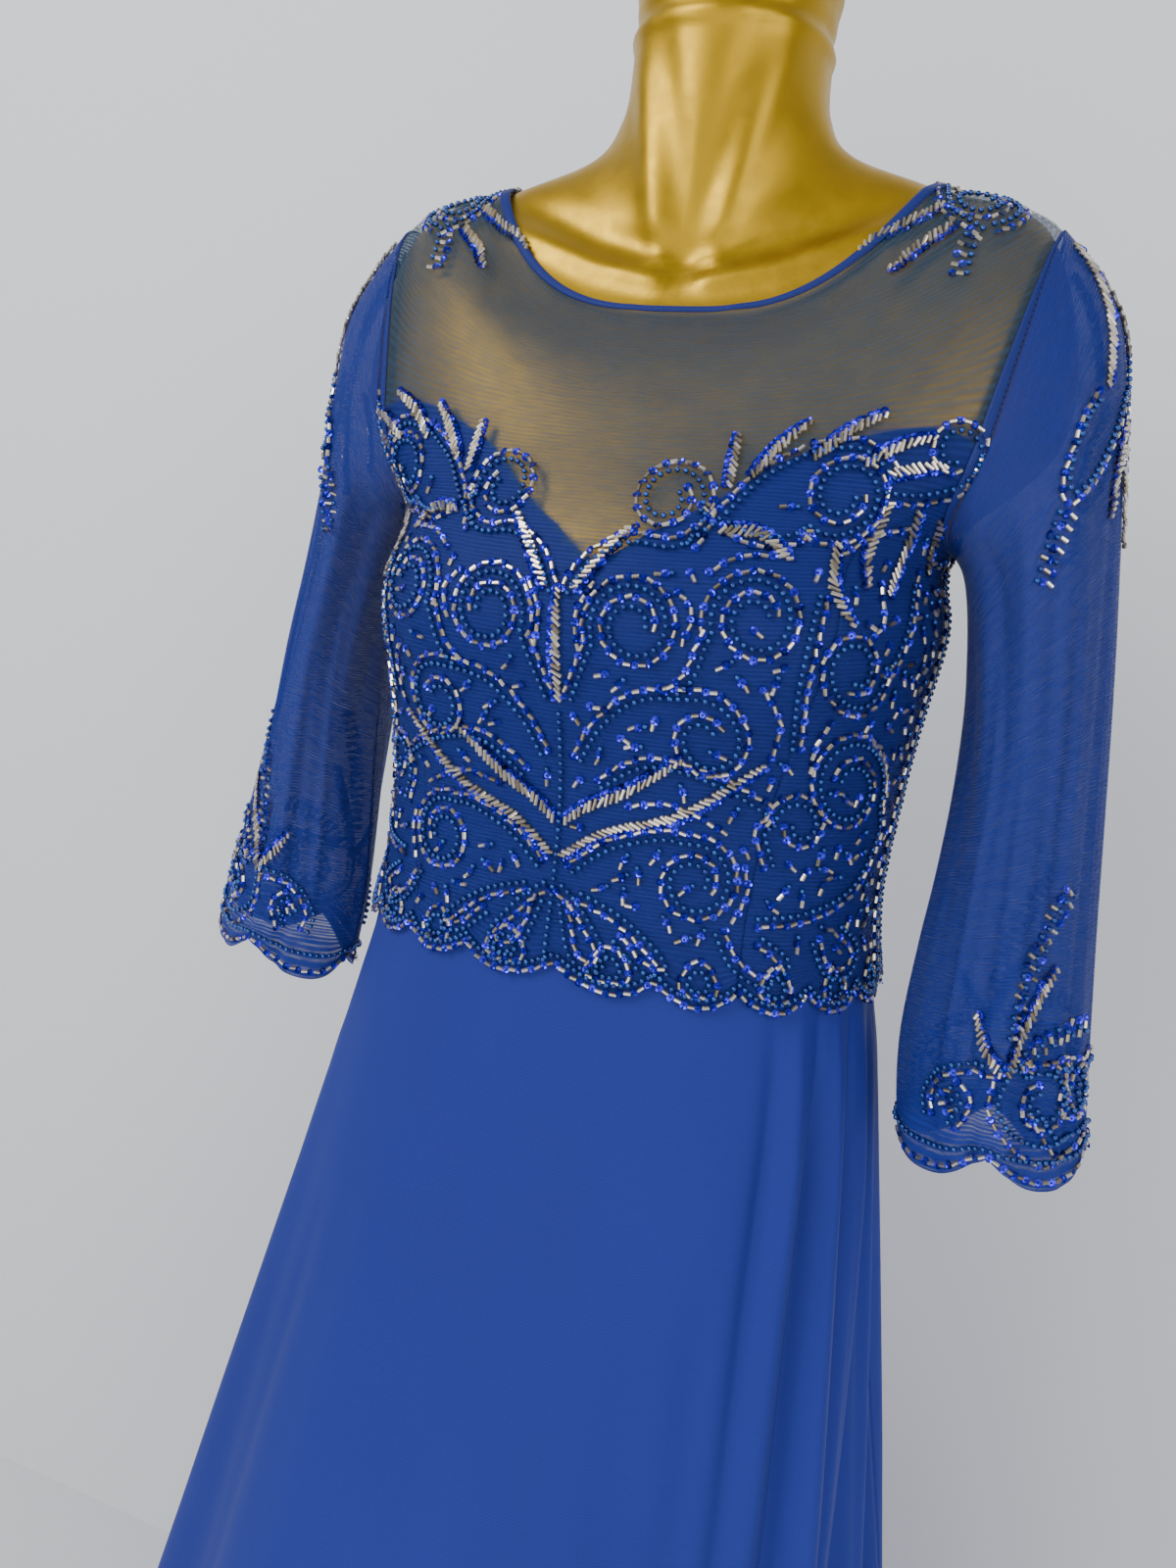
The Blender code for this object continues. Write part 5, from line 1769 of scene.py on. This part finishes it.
build_zip()
build_stitching()
for zone_beads in ZONES:
    for kind, finish in (("pearl", PEARL), ("sequin", SEQUIN), ("bugle", BUGLE)):
        join_copies(f"{kind}s_{zone_beads.zone}", kind, zone_beads.spots[kind], finish)


# Cloth cut flat, with its seam allowances: width, length, flat area, how it is held,
# what it lies on or hangs from
CUTS = {
    "net_centre_front": (0.500, 0.480, 0.118, "draped", ("lining_body_front", "gold_form")),
    "net_side_front_left": (0.150, 0.310, 0.030, "draped", ("lining_body_front",)),
    "net_side_front_right": (0.150, 0.310, 0.030, "draped", ("lining_body_front",)),
    "net_back_left": (0.260, 0.480, 0.089, "draped", ("lining_body_left", "gold_form")),
    "net_back_right": (0.260, 0.480, 0.089, "draped", ("lining_body_right", "gold_form")),
    "lining_body_front": (0.510, 0.310, 0.107, "draped", ("gold_form",)),
    "lining_body_left": (0.200, 0.310, 0.052, "draped", ("gold_form",)),
    "lining_body_right": (0.200, 0.310, 0.052, "draped", ("gold_form",)),
    "net_sleeve_left": (0.480, 0.500, 0.125, "hung", ("net_centre_front", "net_back_left")),
    "net_sleeve_right": (0.480, 0.500, 0.125, "hung", ("net_centre_front", "net_back_right")),
    "crepe_front": (1.230, 1.090, 0.860, "hung", ("lining_body_front",)),
    "crepe_back_left": (0.610, 1.090, 0.430, "hung", ("lining_body_left",)),
    "crepe_back_right": (0.610, 1.090, 0.430, "hung", ("lining_body_right",)),
    "zip_tapes": (0.020, 0.370, None, "hung", ("net_back_left", "net_back_right")),
}
SEWN_ON = {
    "net_centre_front": ("neck_strip", "stitches_neck", "armhole_band", "stitches_armhole", "s_front"),
    "net_back_left": ("s_back",),
    "net_sleeve_left": ("s_sleeve_left",),
    "net_sleeve_right": ("s_sleeve_right",),
    "crepe_front": ("stitches_hem",),
    "zip_tapes": ("zip_coil",),
}
for name, (width, length, area, held, below) in CUTS.items():
    sewn = [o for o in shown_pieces() if any(part in o.name for part in SEWN_ON.get(name, ()))]
    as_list(below)


# Camera
FOCAL = 27.18
CAMERA_TURNS = (20.0, 8.4, 6.6)
CAMERA_PLACE = (0.208, -0.658, 1.217)
yaw, pitch, roll = (math.radians(v) for v in CAMERA_TURNS)
back = Vector((math.sin(yaw) * math.cos(pitch), -math.cos(yaw) * math.cos(pitch), math.sin(pitch)))
right = Vector((0, 0, 1)).cross(back).normalized()
up = back.cross(right)
tilted_right = math.cos(roll) * right + math.sin(roll) * up
tilted_up = -math.sin(roll) * right + math.cos(roll) * up
camera = bpy.data.objects.new("camera", bpy.data.cameras.new("camera"))
camera.data.lens = FOCAL
camera.data.sensor_width = 36.0
camera.data.clip_start = 0.02
pose = Matrix((tilted_right, tilted_up, back)).transposed().to_4x4()
pose.translation = CAMERA_PLACE
camera.matrix_world = pose
bpy.context.scene.collection.objects.link(camera)
bpy.context.scene.camera = camera


# Stage and lights
WALL_Y = 0.46
WALL_SIZE = (3.0, 3.2)
FLOOR_HALF = 6.0
FLOOR_COLOUR = (0.80, 0.81, 0.83)
WALL_COLOUR = (0.84, 0.85, 0.87)
WORLD_COLOUR = (0.82, 0.84, 0.88, 1.0)
WORLD_STRENGTH = 0.55


def build_stage():
    ends = ((-1.0, -1.0), (1.0, -1.0), (1.0, 1.0), (-1.0, 1.0))
    floor = [(x * FLOOR_HALF, y * FLOOR_HALF, 0.0) for x, y in ends]
    wall = [(x * WALL_SIZE[0], WALL_Y, max(z, 0.0) * WALL_SIZE[1]) for x, z in ends]
    for name, corners, colour in (("floor", floor, FLOOR_COLOUR), ("wall", wall, WALL_COLOUR)):
        mesh = bpy.data.meshes.new(name)
        mesh.from_pydata(corners, [], [(0, 1, 2, 3)])
        thing = bpy.data.objects.new(name, mesh)
        bpy.context.scene.collection.objects.link(thing)
        look = Look(name, colour, 0.9)
        look.bump(look.noise(look.place(), 700.0), 0.25, 0.0005)
        thing.data.materials.append(look.made)
    side = look.node("NewGeometry").outputs["Backfacing"]
    clear = look.node("BsdfTransparent").outputs[0]
    either = look.node("MixShader", {0: side, 1: look.shader.outputs[0], 2: clear})
    look.fill(look.nodes["Material Output"].inputs["Surface"], either.outputs[0])
    world = bpy.data.worlds.new("studio")
    bpy.context.scene.world = world
    world.use_nodes = True
    world.node_tree.nodes["Background"].inputs[0].default_value = WORLD_COLOUR
    world.node_tree.nodes["Background"].inputs[1].default_value = WORLD_STRENGTH


def area_light(name, place, aim, size, power):
    light = bpy.data.lights.new(name, "AREA")
    light.shape = "SQUARE"
    light.size = size
    light.energy = power
    thing = bpy.data.objects.new(name, light)
    thing.location = place
    thing.rotation_euler = (Vector(aim) - Vector(place)).to_track_quat("-Z", "Y").to_euler()
    bpy.context.scene.collection.objects.link(thing)


build_stage()
# Name, place, height that it is turned to, size, power
LIGHTS = (
    ("key", (-1.4, -1.7, 2.4), 1.15, 1.2, 42.0),
    ("fill", (1.5, -1.5, 1.6), 1.1, 1.4, 18.0),
    ("behind", (0.5, 1.9, 2.4), 1.2, 1.2, 22.0),
    ("low_front", (0.1, -2.2, 0.9), 0.8, 1.6, 12.0),
)
for name, place, aim_z, size, power in LIGHTS:
    area_light(name, place, (0.0, 0.0, aim_z), size, power)
